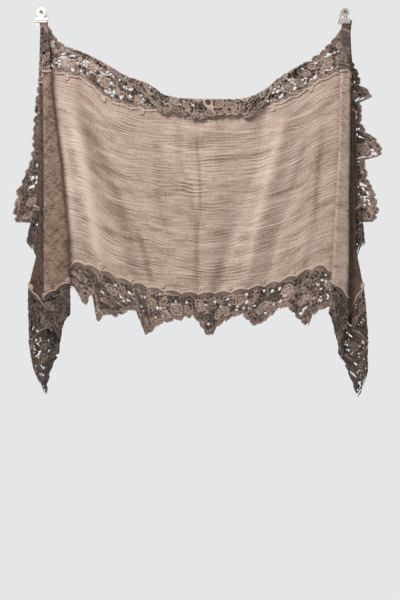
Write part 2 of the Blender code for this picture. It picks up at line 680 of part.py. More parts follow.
def clip_rows(bar_depth, lip_depth, disc_depth, bulge):
    """Side profile of one half of a clip, from the top of its disc down to its lip."""
    rows = []
    for step in range(CLIP_DISC_ROWS):
        angle = math.pi * (0.07 + 0.87 * step / (CLIP_DISC_ROWS - 1))
        z = CLIP_DISC_RADIUS * math.cos(angle)
        rows.append(ClipRow(z, disc_depth, CLIP_DISC_RADIUS * math.sin(angle)))
    rows.append(ClipRow(-16.4, bar_depth, CLIP_NECK_WIDTH / 2 + 1))
    rows.append(ClipRow(-17.4, bar_depth, CLIP_BAR_WIDTH / 2 - 1))
    for z, swell in ((-19.6, 1.0), (-21.6, 0.4), (-23.6, 1.0), (-25.6, 0.4), (-27.6, 1.0)):
        rows.append(ClipRow(z, bar_depth + bulge * swell, CLIP_BAR_WIDTH / 2))
    rows.append(ClipRow(-30.0, lip_depth, CLIP_BAR_WIDTH / 2 - 0.4))
    return rows


def plate_solid(name, rows, middle_x, steel, across=(-1, -0.5, 0, 0.5, 1)):
    """Sheet of steel that follows a side profile, as wide as each of its rows says."""
    grid = np.array([[(middle_x + row.half_width * c, -row.depth, row.z) for c in across]
                     for row in rows])
    normals = np.zeros(grid.shape)
    lines = np.gradient(grid[:, len(across) // 2, 1:], axis=0)
    lines /= np.linalg.norm(lines, axis=1)[:, None]
    normals[..., 1] = lines[:, None, 1]
    normals[..., 2] = -lines[:, None, 0]
    return cloth_wall(name, grid, normals, CLIP_STEEL, set(), steel)


def cut_nail_hole(plate, x):
    bpy.ops.mesh.primitive_cylinder_add(vertices=16, radius=CLIP_HOLE_RADIUS * MM, depth=0.1,
                                        location=(x * MM, 0, 0), rotation=(math.pi / 2, 0, 0))
    cutter = bpy.context.object
    cutter.name = plate.name + "_cutter"
    cutter.hide_render = True
    cutter.display_type = "WIRE"
    cut = plate.modifiers.new("nail hole", "BOOLEAN")
    cut.operation = "DIFFERENCE"
    cut.solver = "EXACT"
    cut.object = cutter


def build_clip(tail, steel):
    x = tail.outward * (CLIP_X - CLIP_SLANT)
    front_lip = LAYERS[1].pinched + CLIP_GRIP
    back_lip = LAYERS[-1].pinched - CLIP_GRIP
    front = clip_rows(FRONT_BAR_DEPTH, front_lip, FRONT_DISC_DEPTH, FRONT_BULGE)
    back = clip_rows(BACK_BAR_DEPTH, back_lip, BACK_DISC_DEPTH, BACK_BULGE)
    for name, rows in (("front", front), ("back", back)):
        plate = plate_solid(f"clip_{name}_{tail.name}", rows, x, steel)
        cut_nail_hole(plate, tail.outward * CLIP_X)
    build_spring(f"clip_spring_{tail.name}", x, steel)


def build_spring(name, x, steel):
    """Bent strip between the two halves, above the cloth: it pushes their lips together."""
    half = CLIP_NECK_WIDTH / 2 - 0.8
    front, back = SPRING_FEET
    middle, reach = (front + back) / 2, (front - back) / 2
    legs = [(z, reach * share) for z, share in SPRING_LEG]
    rows = [ClipRow(z, middle - out, half) for z, out in legs]
    rows += [ClipRow(z, middle + out, half) for z, out in legs[-2::-1]]
    return plate_solid(name, rows, x, steel, across=(-1, 1))


def build_nail(tail, steel):
    """Round nail through both discs: shaft out of the wall and a flat head."""
    profile = ((0, 0), (0, NAIL_RADIUS), (NAIL_REACH - 1.5, NAIL_RADIUS),
               (NAIL_REACH - 1.5, NAIL_HEAD_RADIUS), (NAIL_REACH - 0.4, NAIL_HEAD_RADIUS),
               (NAIL_REACH, NAIL_HEAD_RADIUS - 0.8), (NAIL_REACH, 0))
    sides = 12
    x = tail.outward * CLIP_X
    vertices, faces = [(x, 0, NAIL_RISE), (x, -NAIL_REACH, NAIL_RISE)], []
    for out, radius in profile[1:-1]:
        for k in range(sides):
            angle = 2 * math.pi * k / sides
            vertices.append((x + radius * math.cos(angle), -out, NAIL_RISE + radius * math.sin(angle)))
    rings = len(profile) - 2
    for k in range(sides):
        after = (k + 1) % sides
        faces.append([0, 2 + k, 2 + after])
        faces.append([1, 2 + (rings - 1) * sides + after, 2 + (rings - 1) * sides + k])
        for ring in range(rings - 1):
            a, b = 2 + ring * sides, 2 + (ring + 1) * sides
            faces.append([a + k, b + k, b + after, a + after])
    return add_object(f"nail_{tail.name}", vertices, faces, steel)


def main():
    clear_scene()
    gauze = make_material("crinkled_gauze", LINEN_TAUPE, 0.9)
    lace = make_material("felted_lace", LACE_TAUPE, 0.95)
    nickel = make_material("nickel_plate", NICKEL, 0.22, 1.0)
    iron = make_material("nail_steel", NAIL_STEEL, 0.5, 1.0)
    build_middle(gauze, lace)
    for tail in TAILS:
        build_tail_gauze(tail, gauze)
        build_bunched_lace(tail, lace)
        build_outer_lace(tail, lace)
        build_end_lace(tail, lace)
        build_tail_hem(tail, lace)
        build_clip(tail, nickel)
        build_nail(tail, iron)


main()
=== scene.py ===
"""Looks of a crinkled gauze shawl with a felted lace border, hung from two bulldog clips.

Shapes are worked out in millimetres on the frame's own axes (x to the right, -y towards the
viewer, z up, the wall at y = 0) and become metres where a mesh is made.
"""
import logging
import math
from dataclasses import dataclass, field
from enum import Enum
from typing import Callable, NamedTuple

import bpy
import numpy as np
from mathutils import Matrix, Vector


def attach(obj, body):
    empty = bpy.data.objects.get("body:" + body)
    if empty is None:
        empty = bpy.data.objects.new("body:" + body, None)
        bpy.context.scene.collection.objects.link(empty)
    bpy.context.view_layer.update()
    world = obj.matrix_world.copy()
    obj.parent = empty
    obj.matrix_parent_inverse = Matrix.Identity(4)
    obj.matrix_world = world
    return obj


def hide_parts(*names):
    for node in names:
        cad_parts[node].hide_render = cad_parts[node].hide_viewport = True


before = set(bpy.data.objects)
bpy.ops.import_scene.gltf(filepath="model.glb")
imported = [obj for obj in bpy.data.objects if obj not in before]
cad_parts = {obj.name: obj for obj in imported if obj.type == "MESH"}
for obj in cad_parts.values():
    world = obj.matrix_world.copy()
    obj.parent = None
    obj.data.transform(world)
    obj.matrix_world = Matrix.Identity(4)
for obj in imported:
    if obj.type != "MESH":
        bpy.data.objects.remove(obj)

Array = np.ndarray
Place = Callable[[Array, Array], Array]
Triple = tuple[float, float, float]
Material, Piece, Socket = bpy.types.Material, bpy.types.Object, bpy.types.NodeSocket
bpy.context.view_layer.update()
LOG = logging.getLogger("shawl")
MM = 0.001
NOWHERE = -9.0  # cover where there is no felt
FAR = 99.0  # distance at which a line is never met


# Numbers and curves

def smooth_step(value: Array) -> Array:
    """Rise from 0 to 1 with level ends: 3 v squared less 2 v cubed, v kept within 0 and 1."""
    value = np.clip(value, 0.0, 1.0)
    return value * value * (3 - 2 * value)


def arches(angle: Array, power: float) -> Array:
    """Row of arches, one each half turn: the size of the angle's sine, to a power."""
    return np.abs(np.sin(angle)) ** power


def ring_angles(sides: int) -> Array:
    """Angles round a circle, an even step apart."""
    return np.linspace(0, 2 * math.pi, sides, endpoint=False)


def passed_length(points: Array, axis: int = 0) -> Array:
    """Length passed at each point of a line or grid: the sum of the steps up to it.

    Args:
        points: x, y and z last.
        axis: the one along which the line runs.

    Returns:
        Length from the line's first point.
    """
    steps = np.linalg.norm(np.diff(points, axis=axis), axis=-1)
    return np.insert(np.cumsum(steps, axis=axis), 0, 0.0, axis=axis)


def curve_through(places: tuple[float, ...], values: tuple[float, ...], at: Array) -> Array:
    """Smooth curve through a short table: cubic pieces whose slopes never overshoot a row.

    Args:
        places: where each row of the table lies, rising.
        values: the value of each row.
        at: where the curve is read.

    Returns:
        The curve's value at each place.
    """
    places, values = np.asarray(places, float), np.asarray(values, float)
    steps = np.diff(places)
    slopes = np.diff(values) / steps
    tangents = np.zeros(len(places))
    same_way = slopes[:-1] * slopes[1:] > 0
    mean = 2 * slopes[:-1] * slopes[1:] / np.where(same_way, slopes[:-1] + slopes[1:], 1.0)
    tangents[1:-1] = np.where(same_way, mean, 0.0)
    tangents[0], tangents[-1] = slopes[0], slopes[-1]
    at = np.clip(at, places[0], places[-1])
    row = np.clip(np.searchsorted(places, at, side="right") - 1, 0, len(steps) - 1)
    t = (at - places[row]) / steps[row]
    bow = steps[row] * (tangents[row] * t * (1 - t) ** 2 - tangents[row + 1] * t * t * (1 - t))
    return values[row] + (values[row + 1] - values[row]) * t * t * (3 - 2 * t) + bow


@dataclass(frozen=True)
class Curve:
    """Smooth curve through a short table.

    Args:
        rows: places, rising, each with the value there, in millimetres.
    """

    rows: tuple[tuple[float, float], ...]

    def at(self, places: Array) -> Array:
        """Value of the curve at some places."""
        return curve_through(*zip(*self.rows), places)


def scatter(first: Array, second: Array, seed: int) -> Array:
    """Repeatable scatter from 0 to 1: whole numbers are multiplied, folded and cut off.

    Args:
        first: whole numbers, such as a cell's column.
        second: whole numbers, such as a cell's row.
        seed: picks one scatter of many.

    Returns:
        One number from 0 to 1 for each pair.
    """
    mixed = (first.astype(np.int64) * 374761393 + second.astype(np.int64) * 668265263
             + seed * 1442695041) & 0x7FFFFFFF
    mixed = ((mixed ^ (mixed >> 13)) * 1274126177) & 0x7FFFFFFF
    return ((mixed ^ (mixed >> 16)) & 0xFFFF) / 65535.0


def ripple(x: Array, y: Array, seed: int) -> Array:
    """Soft noise from -1 to 1: scattered values at whole numbers, eased between them.

    Args:
        x: first coordinate, in lengths of one ripple.
        y: second coordinate, in lengths of one ripple.
        seed: picks one noise of many.

    Returns:
        The noise at each point.
    """
    column, row = np.floor(x), np.floor(y)
    along, down = smooth_step(x - column), smooth_step(y - row)
    corners = [scatter(column + right, row + low, seed) for low in (0, 1) for right in (0, 1)]
    upper = corners[0] + (corners[1] - corners[0]) * along
    lower = corners[2] + (corners[3] - corners[2]) * along
    return 2 * (upper + (lower - upper) * down) - 1


class Cells(NamedTuple):
    """Where points lie in a net of uneven cells."""

    border: Array
    chance: Array


def uneven_cells(x: Array, y: Array, size: float, seed: int) -> Cells:
    """Net of uneven cells: each point belongs to the nearest of a grid of shifted centres.

    The distance to a border is that to the line midway between the two nearest centres.

    Args:
        x: first coordinate, in millimetres.
        y: second coordinate, in millimetres.
        size: a cell's usual width.
        seed: picks one net of many.

    Returns:
        Distance to the nearest border, and one random number a cell.
    """
    x, y = x / size, y / size
    column, row = np.floor(x), np.floor(y)
    most_shift, least_way = 0.72, 1e-6

    def centre(right: int, low: int) -> tuple[Array, Array]:
        """Centre of the cell that many columns and rows away, shifted by its own chance."""
        shift = most_shift * (scatter(column + right, row + low, seed) - 0.5)
        drop = most_shift * (scatter(column + right, row + low, seed + 1) - 0.5)
        return column + right + 0.5 + shift, row + low + 0.5 + drop

    nearest = np.full(x.shape, np.inf)
    own_x, own_y, chance = np.zeros(x.shape), np.zeros(x.shape), np.zeros(x.shape)
    for low in (-1, 0, 1):
        for right in (-1, 0, 1):
            there_x, there_y = centre(right, low)
            reach = (there_x - x) ** 2 + (there_y - y) ** 2
            closer = reach < nearest
            nearest = np.where(closer, reach, nearest)
            own_x, own_y = np.where(closer, there_x, own_x), np.where(closer, there_y, own_y)
            chance = np.where(closer, scatter(column + right, row + low, seed + 2), chance)
    border = np.full(x.shape, np.inf)
    for low in (-2, -1, 0, 1, 2):
        for right in (-2, -1, 0, 1, 2):
            there_x, there_y = centre(right, low)
            way_x, way_y = there_x - own_x, there_y - own_y
            length = np.hypot(way_x, way_y)
            toward = ((own_x + there_x) / 2 - x) * way_x + ((own_y + there_y) / 2 - y) * way_y
            nearer = np.minimum(border, toward / np.maximum(length, least_way))
            border = np.where(length > least_way, nearer, border)
    return Cells(border * size, chance)


# How the cloth hangs

class Fold(NamedTuple):
    """Fold of both tails: its thread line's angle, and its inset from each nail by drop."""

    angle: float
    left: tuple[float, ...]
    right: tuple[float, ...]


class Layer(NamedTuple):
    """Layer of cloth between two folds: its distance from the wall in the clip and below."""

    name: str
    pinched: float
    open: float


class SwagFold(NamedTuple):
    """Soft fold of the middle: its x at each of SWAG_DROPS; minus depth comes forwards."""

    places: tuple[float, ...]
    half_width: float
    depth: float


class Tail(NamedTuple):
    """One tail: outward is -1 to the left and 1 to the right. Its edge gives inset by drop."""

    name: str
    outward: int
    edge: Curve


FOLD_DROPS = (0, 60, 200, 360, 470, 600, 740, 870, 1000)
FOLDS = (
    # pleat root
    Fold(90, (0, 14, 20, 27, 30, 35, 41, 45, 45),
         (-13, -5, -1, 4, 6, 11, 17, 18, 18)),
    # pleat inner edge
    Fold(81, (14, 24, 34, 54, 65, 77, 81, 80, 66),
         (1, 10, 17, 21, 27, 34, 41, 52, 50)),
    # pleat outer edge
    Fold(69, (-6, 4, 9, 11, 11, 11, 11, 18, 22),
         (-19, -13, -11, -10, -8, -8, -5, -2, 0)),
    # first under-fold
    Fold(61, (14, 22, 40, 62, 72, 78, 72, 52, 42),
         (1, 12, 28, 46, 55, 52, 34, 20, 14)),
    # lower corner fold
    Fold(54, (-3, -3, -4, -3, -4, -8, -34, -30, 0),
         (-16, -15, -18, -22, -26, -30, -52, -60, -58)),
    # second under-fold
    Fold(46, (14, 20, 38, 58, 68, 72, 62, 48, 42),
         (1, 11, 26, 44, 53, 50, 34, 18, 8)),
    # side fold
    Fold(33, (-3, -4, -6, -8, -12, -38, -38, -30, 0),
         (-16, -17, -26, -34, -37, -54, -55, -55, -50)),
    # third under-fold
    Fold(17, (14, 18, 34, 52, 62, 60, 55, 50, 46),
         (1, 9, 22, 40, 50, 46, 36, 26, 16)),
)
LEFT_EDGE = Curve((
    (0, -6), (23, 0), (60, -4), (145, -11), (212, -19), (280, -24), (347, -29), (415, -47),
    (470, -72), (523, -77), (560, -66)))
RIGHT_EDGE = Curve((
    (0, -19), (60, -18), (104, -24), (145, -40), (172, -50), (200, -77), (223, -48), (262, -48),
    (296, -62), (319, -86), (358, -104), (380, -57), (435, -71), (471, -85), (515, -93), (560, -66)))
TAILS = (Tail("left", -1, LEFT_EDGE), Tail("right", 1, RIGHT_EDGE))
LAYERS = (
    Layer("pleat back", 21.6, 52),
    Layer("pleat front", 23.7, 62),
    Layer("under pleat", 17.2, 38),
    Layer("corner front", 15.2, 32),
    Layer("corner back", 13.2, 26),
    Layer("side front", 11.2, 20),
    Layer("side back", 9.2, 14),
    Layer("outer lace", 7.2, 8),
)
PANEL_LAYER = Layer("panel", 19.2, 45)
# Outlines of the middle from the front, as x and z, and the flap's length by x.
SWAG_TOP = Curve((
    (-420, -21), (-396, -22), (-386, -34), (-366, -68), (-333, -92), (-283, -114), (-217, -151),
    (-181, -172), (-116, -197), (-73, -226), (-15, -235), (57, -237), (130, -235), (188, -212),
    (231, -179), (296, -139), (332, -113), (368, -78), (394, -46), (407, -24), (430, -21)))
TOP_SEAM = Curve((
    (-400, -155), (-305, -173), (-217, -236), (-157, -254), (-38, -267), (19, -270), (92, -268),
    (150, -264), (219, -246), (281, -219), (343, -180), (391, -162), (415, -155)))
HEM_SEAM = Curve((
    (-375, -720), (-340, -694), (-305, -676), (-254, -692), (-157, -730), (-38, -754), (19, -757),
    (92, -753), (170, -740), (219, -728), (281, -706), (343, -684), (370, -700), (400, -720)))
HEM = Curve((
    (-372, -808), (-322, -742), (-286, -790), (-272, -764), (-254, -834), (-232, -815),
    (-202, -819), (-159, -801), (-124, -868), (-87, -841), (-44, -830), (0, -823), (42, -871),
    (79, -837), (123, -815), (170, -843), (202, -823), (246, -794), (304, -843), (325, -812),
    (361, -794), (397, -808)))
FLAP = Curve((
    (-420, 6), (-385, 6), (-340, 9), (-283, 18), (-217, 26), (-150, 42), (-95, 62), (-40, 54),
    (10, 68), (60, 56), (110, 56), (150, 66), (200, 44), (240, 28), (300, 16), (350, 8),
    (395, 6), (430, 6)))
SWAG_DROPS = (240, 370, 500, 640, 760)
SWAG_FOLDS = (
    SwagFold((-325, -310, -292, -262, -225), 24, -8),  # left ridge
    SwagFold((-300, -262, -219, -160, -116), 25, 13),  # left trough
    SwagFold((-30, -30, 5, 19, 19), 12, 5),  # middle crease
    SwagFold((60, 60, 70, 60, 42), 26, -5),  # middle ridge
    SwagFold((200, 181, 143, 100, 65), 22, 10),  # inner right trough
    SwagFold((250, 230, 200, 165, 130), 20, -6),  # inner right ridge
    SwagFold((320, 305, 262, 221, 194), 20, 9),  # right trough
    SwagFold((352, 345, 325, 300, 262), 18, -6),  # right ridge
    SwagFold((372, 362, 345, 318, 289), 14, 6),  # hem trough
)


@dataclass(frozen=True)
class Cut:
    """The shawl laid flat: a rectangle of gauze with a lace border all round."""

    top_lace: float = 135.0
    gauze_width: float = 565.0
    lace_valley: float = 84.0
    lace_point: float = 132.0
    lace_repeat: float = 140.0
    tail_gauze: float = 422.0
    corner_lobe: float = 16.0
    middle_length: float = 937.0
    outer_run_on: float = 40.0

    @property
    def seam(self) -> float:
        """Distance from the top edge to the hem seam."""
        return self.top_lace + self.gauze_width

    def lace_width(self, along: Array) -> Array:
        """Border width: widest in the middle of each repeat, by a power of the way there."""
        phase = np.abs((along / self.lace_repeat) % 1.0 - 0.5) * 2
        return self.lace_valley + (self.lace_point - self.lace_valley) * (1 - phase) ** 1.4


@dataclass(frozen=True)
class Drape:
    """How the shawl hangs: from a point of the cloth to its place in the frame."""

    clip_x: float = 408.0
    cloth_top: float = -20.0
    pinch_length: float = 14.0
    opening_length: float = 130.0
    turn: float = 0.12
    pleat_tilt: float = 8.0
    outer_ruffle: float = 9.0
    ruffle_repeat: float = 92.0
    swag_belly: float = 7.0
    panel_turn: float = 9.0
    edge_calm: tuple[float, float] = (48.0, 135.0)
    flap_bend: float = 4.0
    flap_straight: float = 100.0
    flap_lean: float = 0.08
    flap_free: tuple[float, float] = (15.0, 150.0)

    def opened(self, drop: Array) -> Array:
        """Smooth rise from 0 in the clip to 1 where the layers have spread apart."""
        return smooth_step((drop - self.pinch_length) / self.opening_length)

    def layer_depth(self, layer: Layer, drop: Array) -> Array:
        """Distance of a layer from the wall: from its pinched depth to its open one."""
        return layer.pinched + (layer.open - layer.pinched) * self.opened(drop)

    def fold_inset(self, tail: Tail, number: int, drop: Array) -> Array:
        """How far in from the nail a fold lies: its row of the table, or the free edge's.

        Args:
            tail: the tail that it belongs to.
            number: the fold's number; one past the last means the free edge.
            drop: distance below the top of the cloth.

        Returns:
            Distance from the nail towards the middle of the shawl.
        """
        if number == len(FOLDS):
            return tail.edge.at(drop)
        fold = FOLDS[number]
        return curve_through(FOLD_DROPS, fold.left if tail.outward < 0 else fold.right, drop)

    def bend_share(self, part: Array, free_end: bool) -> Array:
        """Sideways travel over a layer: an ellipse's quarter at each bend, straight between.

        Args:
            part: how far across the layer, from 0 to 1.
            free_end: whether the layer ends in an edge and not in a fold.

        Returns:
            The share of the layer's width that is passed.
        """
        turn = self.turn
        start = turn * (1 - np.cos(np.clip(part / turn, 0, 1) * math.pi / 2))
        end = turn * (1 - np.cos(np.clip((1 - part) / turn, 0, 1) * math.pi / 2))
        far = part if free_end else np.where(part > 1 - turn, 1 - end, part)
        return np.where(part < turn, start, far)

    def tail_place(self, tail: Tail, fold_number: Array, drop: Array) -> Array:
        """Place of a tail's points: between two folds sideways, in its layer's depth.

        Sideways it lies between the two folds by bend_share. Its depth is the layer's, eased
        by a quarter sine to the mean with the next layer at each bend. It hangs drop low.

        Args:
            tail: the tail.
            fold_number: a real number whose whole part is the layer.
            drop: length of thread line from the clip.

        Returns:
            Points, with x, y and z last.
        """
        fold_number, drop = np.broadcast_arrays(np.asarray(fold_number, float), drop)
        places = np.zeros(fold_number.shape + (3,))
        last = len(LAYERS) - 1
        for number, layer in enumerate(LAYERS):
            here = np.clip(np.floor(fold_number), 0, last) == number
            if not here.any():
                continue
            part, fall = fold_number[here] - number, drop[here]
            start, end = self.fold_inset(tail, number, fall), self.fold_inset(tail, number + 1, fall)
            inset = start + (end - start) * self.bend_share(part, number == last)
            depth = self.layer_depth(layer, fall)
            before = self.layer_depth(PANEL_LAYER if number == 0 else LAYERS[number - 1], fall)
            after = self.layer_depth(LAYERS[min(number + 1, last)], fall)
            tilt = self.pleat_tilt * self.opened(fall)
            if layer.name == "pleat front":
                depth = depth + tilt * (0.5 - part)
            if number == 0:
                after = after + tilt / 2
            if number == 2:
                before = before - tilt / 2
            ease_in = 1 - np.sin(np.clip(part / self.turn, 0, 1) * math.pi / 2)
            ease_out = 1 - np.sin(np.clip((1 - part) / self.turn, 0, 1) * math.pi / 2)
            half_after = (after - depth) / 2 * ease_out
            if number == last:
                half_after = 0.0
                swell = smooth_step((part - 0.72) / 0.28) * self.opened(fall)
                ruffle = np.sin(fall / self.ruffle_repeat * math.pi) ** 2
                depth = depth + self.outer_ruffle * swell * ruffle
            places[here, 0] = tail.outward * (self.clip_x - inset)
            places[here, 1] = -(depth + (before - depth) / 2 * ease_in + half_after)
            places[here, 2] = self.cloth_top - fall
        return places

    def middle_ends(self, z: Array) -> tuple[Array, Array]:
        """The x at which the middle of the shawl turns into the left and right pleat."""
        left, right = (self.fold_inset(tail, 0, self.cloth_top - z) for tail in TAILS)
        return -self.clip_x + left, self.clip_x - right

    def swag_relief(self, x: Array, z: Array) -> Array:
        """Soft folds of the middle: bell curves across each fold's line, and a slight belly.

        Args:
            x: place across the front.
            z: height, from the nails.

        Returns:
            Relief at each point.
        """
        relief = np.zeros(x.shape)
        for fold in SWAG_FOLDS:
            middle = curve_through(SWAG_DROPS, fold.places, -z)
            relief += fold.depth * np.exp(-((x - middle) / fold.half_width) ** 2)
        return relief + self.swag_belly * ((z + 500) / 300) ** 2

    def middle_place(self, share: Array, z: Array) -> Array:
        """Place of the middle's points: their share of the way across, at their height.

        Args:
            share: from 0 at the left pleat to 1 at the right one.
            z: height.

        Returns:
            Points, with x, y and z last.
        """
        share, z = np.broadcast_arrays(np.asarray(share, float), z)
        left, right = self.middle_ends(z)
        from_left, from_right = share * (right - left), (1 - share) * (right - left)
        near = np.minimum(from_left, from_right)
        turn = np.clip(near / self.panel_turn, 0, 1)
        cut_back = self.panel_turn * (1 - np.cos(turn * math.pi / 2) - turn)
        x = left + from_left + np.where(from_left < from_right, cut_back, -cut_back)
        drop = self.cloth_top - z
        panel, pleat = self.layer_depth(PANEL_LAYER, drop), self.layer_depth(LAYERS[0], drop)
        free = smooth_step((near - self.edge_calm[0]) / (self.edge_calm[1] - self.edge_calm[0]))
        bend = (pleat - panel) / 2 * (1 - np.sin(turn * math.pi / 2))
        depth = panel + bend - free * self.swag_relief(x, z)
        return np.stack([x, -depth, z], axis=-1)

    def meet_outline(self, shares: Array, outline: Curve) -> tuple[Array, Array]:
        """Height and x at which each thread line of the middle meets an outline.

        It starts from the outline's middle row, and goes half of the way left eight times.

        Args:
            shares: the thread lines.
            outline: its height by x.

        Returns:
            Heights and x.
        """
        z = np.full(len(shares), float(outline.rows[len(outline.rows) // 2][1]))
        for _ in range(8):
            x = self.middle_place(shares, z)[:, 0]
            z = (z + outline.at(x)) / 2
        return outline.at(x), x


def thread_angle(fold_number: Array) -> Array:
    """Angle in radians of the thread line from the clip through a point of a tail."""
    angles = [fold.angle for fold in FOLDS] + [0]
    return np.radians(np.interp(fold_number, range(len(angles)), angles))


CUT = Cut()
DRAPE = Drape()


# Meshes

class Slot(Enum):
    """Material slots of the record."""

    GAUZE = "crinkled_gauze"
    LACE = "felted_lace"
    NICKEL = "nickel_plate"
    NAIL = "nail_steel"


def unit(vectors: Array) -> Array:
    """Vectors divided by their own length."""
    return vectors / np.maximum(np.linalg.norm(vectors, axis=-1, keepdims=True), 1e-9)


def add_mesh(name: str, points: Array, faces: Array, material: Material,
             marks: dict[str, Array], flat: Array | None = None,
             triangles: Array | None = None) -> Piece:
    """Put points and faces into a new object at the origin.

    Args:
        name: the piece's name.
        points: vertices in millimetres, one a row.
        faces: vertex numbers of each face, all with the same number of corners.
        material: the piece's finish.
        marks: numbers kept at each vertex, by name.
        flat: place of each vertex on the cloth laid flat, in metres, for the UV map.
        triangles: vertex numbers of further faces, with three corners each.

    Returns:
        The new object.
    """
    mesh = bpy.data.meshes.new(name)
    further = [] if triangles is None else triangles.tolist()
    mesh.from_pydata(points * MM, [], faces.tolist() + further)
    for mark, values in marks.items():
        layer = mesh.attributes.new(mark, "FLOAT", "POINT")
        layer.data.foreach_set("value", np.ascontiguousarray(values, dtype=np.float32))
    if flat is not None:
        corners = np.zeros(len(mesh.loops), dtype=np.int32)
        mesh.loops.foreach_get("vertex_index", corners)
        uv = mesh.uv_layers.new(name="cloth")
        uv.data.foreach_set("uv", np.ascontiguousarray(flat[corners], dtype=np.float32).ravel())
    mesh.materials.append(material)
    mesh.shade_smooth()
    mesh.validate()
    piece = bpy.data.objects.new(name, mesh)
    bpy.context.collection.objects.link(piece)
    return piece


def grid_faces(rows: int, columns: int, closed: bool = False) -> Array:
    """Faces between the points of a grid that is numbered row after row.

    Args:
        rows: of points.
        columns: of points.
        closed: whether the last column joins the first.

    Returns:
        Four vertex numbers a face: here, the next row, across from here, and the next column.
    """
    steps = columns if closed else columns - 1
    row, column = np.meshgrid(np.arange(rows - 1), np.arange(steps), indexing="ij")
    here, beside = row * columns + column, row * columns + (column + 1) % columns
    return np.stack([here, here + columns, beside + columns, beside], axis=-1).reshape(-1, 4)


def end_caps(rings: int, sides: int) -> Array:
    """Triangles from the first and last ring to the two points that follow all rings.

    Args:
        rings: how many there are.
        sides: points in a ring.

    Returns:
        Triangles as vertex numbers.
    """
    ring, tip, last = np.arange(sides), rings * sides, (rings - 1) * sides
    after = (ring + 1) % sides
    return np.concatenate([np.stack([np.full(sides, tip), after, ring], axis=-1),
                           np.stack([np.full(sides, tip + 1), last + ring, last + after], axis=-1)])


def thicken(piece: Piece, thickness: float) -> None:
    """Give a sheet of steel its thickness, half to each side.

    Args:
        piece: the sheet.
        thickness: of the steel.
    """
    wall = piece.modifiers.new("steel", "SOLIDIFY")
    wall.thickness = thickness * MM
    wall.offset = 0.0


def hang(piece: Piece, slot: Slot, *nodes: str) -> None:
    """Give a piece its body, and let it stand for CAD nodes, which it hides.

    Args:
        piece: the piece.
        slot: its material slot in the record; not used.
        nodes: names of the CAD nodes that it replaces.
    """
    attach(piece, "root")
    if nodes:
        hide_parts(*nodes)
    mesh = piece.data
    LOG.info("%s: %d vertices, %d faces", piece.name, len(mesh.vertices), len(mesh.polygons))


@dataclass
class Patch:
    """Grid of points on the hanging cloth, between two lines that run across it.

    Args:
        place: from column numbers and distances along to points.
        columns: number of each column of the grid: a share or a fold number.
        start: where each column starts.
        end: where each column ends.
        rows: how many steps there are from start to end.
        front: 1 where rows and columns run down and to the right of the cloth's front, or -1.
    """

    place: Place
    columns: Array
    start: Array
    end: Array
    rows: int
    front: int = 1
    along: Array = field(init=False)
    points: Array = field(init=False)

    def __post_init__(self) -> None:
        """Work out the grid: rows at even shares of the way from start to end."""
        share = np.linspace(0, 1, self.rows + 1)[:, None]
        self.along = self.start + (self.end - self.start) * share
        self.points = self.place(np.broadcast_to(self.columns, self.along.shape), self.along)

    def normals(self) -> Array:
        """Unit normals of the cloth's front: the cross product of the steps down and across."""
        across = np.gradient(self.points, axis=1)
        down = np.gradient(self.points, axis=0)
        return unit(np.cross(down, across)) * self.front

    def across_mm(self) -> Array:
        """Length of cloth passed along each row, from its first column."""
        return passed_length(self.points, 1)

    def down_mm(self) -> Array:
        """Length of cloth passed along each column, from its first row."""
        return passed_length(self.points)


def even_columns(place: Place, first: float, last: float, along: float, step: float) -> Array:
    """Column numbers an even length of cloth apart, measured on one row.

    Args:
        place: from column numbers and distances along to points.
        first: number of the first column.
        last: number of the last column.
        along: where the measured row lies.
        step: length between two columns.

    Returns:
        The column numbers.
    """
    fine = np.linspace(first, last, 4001)
    passed = passed_length(place(fine, np.full(len(fine), float(along))))
    steps = max(4, round(passed[-1] / step))
    return np.interp(np.linspace(0, passed[-1], steps + 1), passed, fine)


def one_group(kept: Array) -> Array:
    """Largest group of cells that join along their sides, so that nothing lies loose beside it.

    A cell is added beside each pair that meets only at a corner. Then each cell takes the
    highest number among its neighbours' groups, and its group's own parent, until none changes.

    Args:
        kept: which cells there are.

    Returns:
        Which cells stay.
    """
    kept = kept.copy()
    for _ in range(2):
        first, second, third, fourth = kept[:-1, :-1], kept[:-1, 1:], kept[1:, :-1], kept[1:, 1:]
        falling, rising = first & fourth & ~second & ~third, second & third & ~first & ~fourth
        kept[:-1, 1:] |= falling
        kept[:-1, :-1] |= rising
    group, before = np.where(kept, np.arange(kept.size).reshape(kept.shape), -1), None
    while not np.array_equal(group, before):
        near = np.pad(group, 1, constant_values=-1)
        around = near[:-2, 1:-1], near[2:, 1:-1], near[1:-1, :-2], near[1:-1, 2:]
        highest = np.max([group, *around], axis=0)
        parent = np.arange(kept.size)
        np.maximum.at(parent, group[kept], highest[kept])
        while not np.array_equal(parent, parent[parent]):
            parent = parent[parent]
        group, before = np.where(kept, parent[group], -1), group
    return kept & (group == np.bincount(group[kept]).argmax())


def ring_of(values: Array) -> tuple[Array, Array, Array, Array]:
    """Values at the four corners of every cell, in order round each."""
    return values[:-1, :-1], values[1:, :-1], values[1:, 1:], values[:-1, 1:]


def corners(values: Array, cells: Array) -> Array:
    """Values at the corners of some cells, one cell a row."""
    return np.stack([corner[cells] for corner in ring_of(values)], axis=1)


THIN_RIM = 0.2  # least half thickness where front and back share no vertex
RIM_REACH = 0.8  # how near the outline a rim point moves onto it, in cells
RIM_MOVE = 0.6  # furthest that it moves, in cells


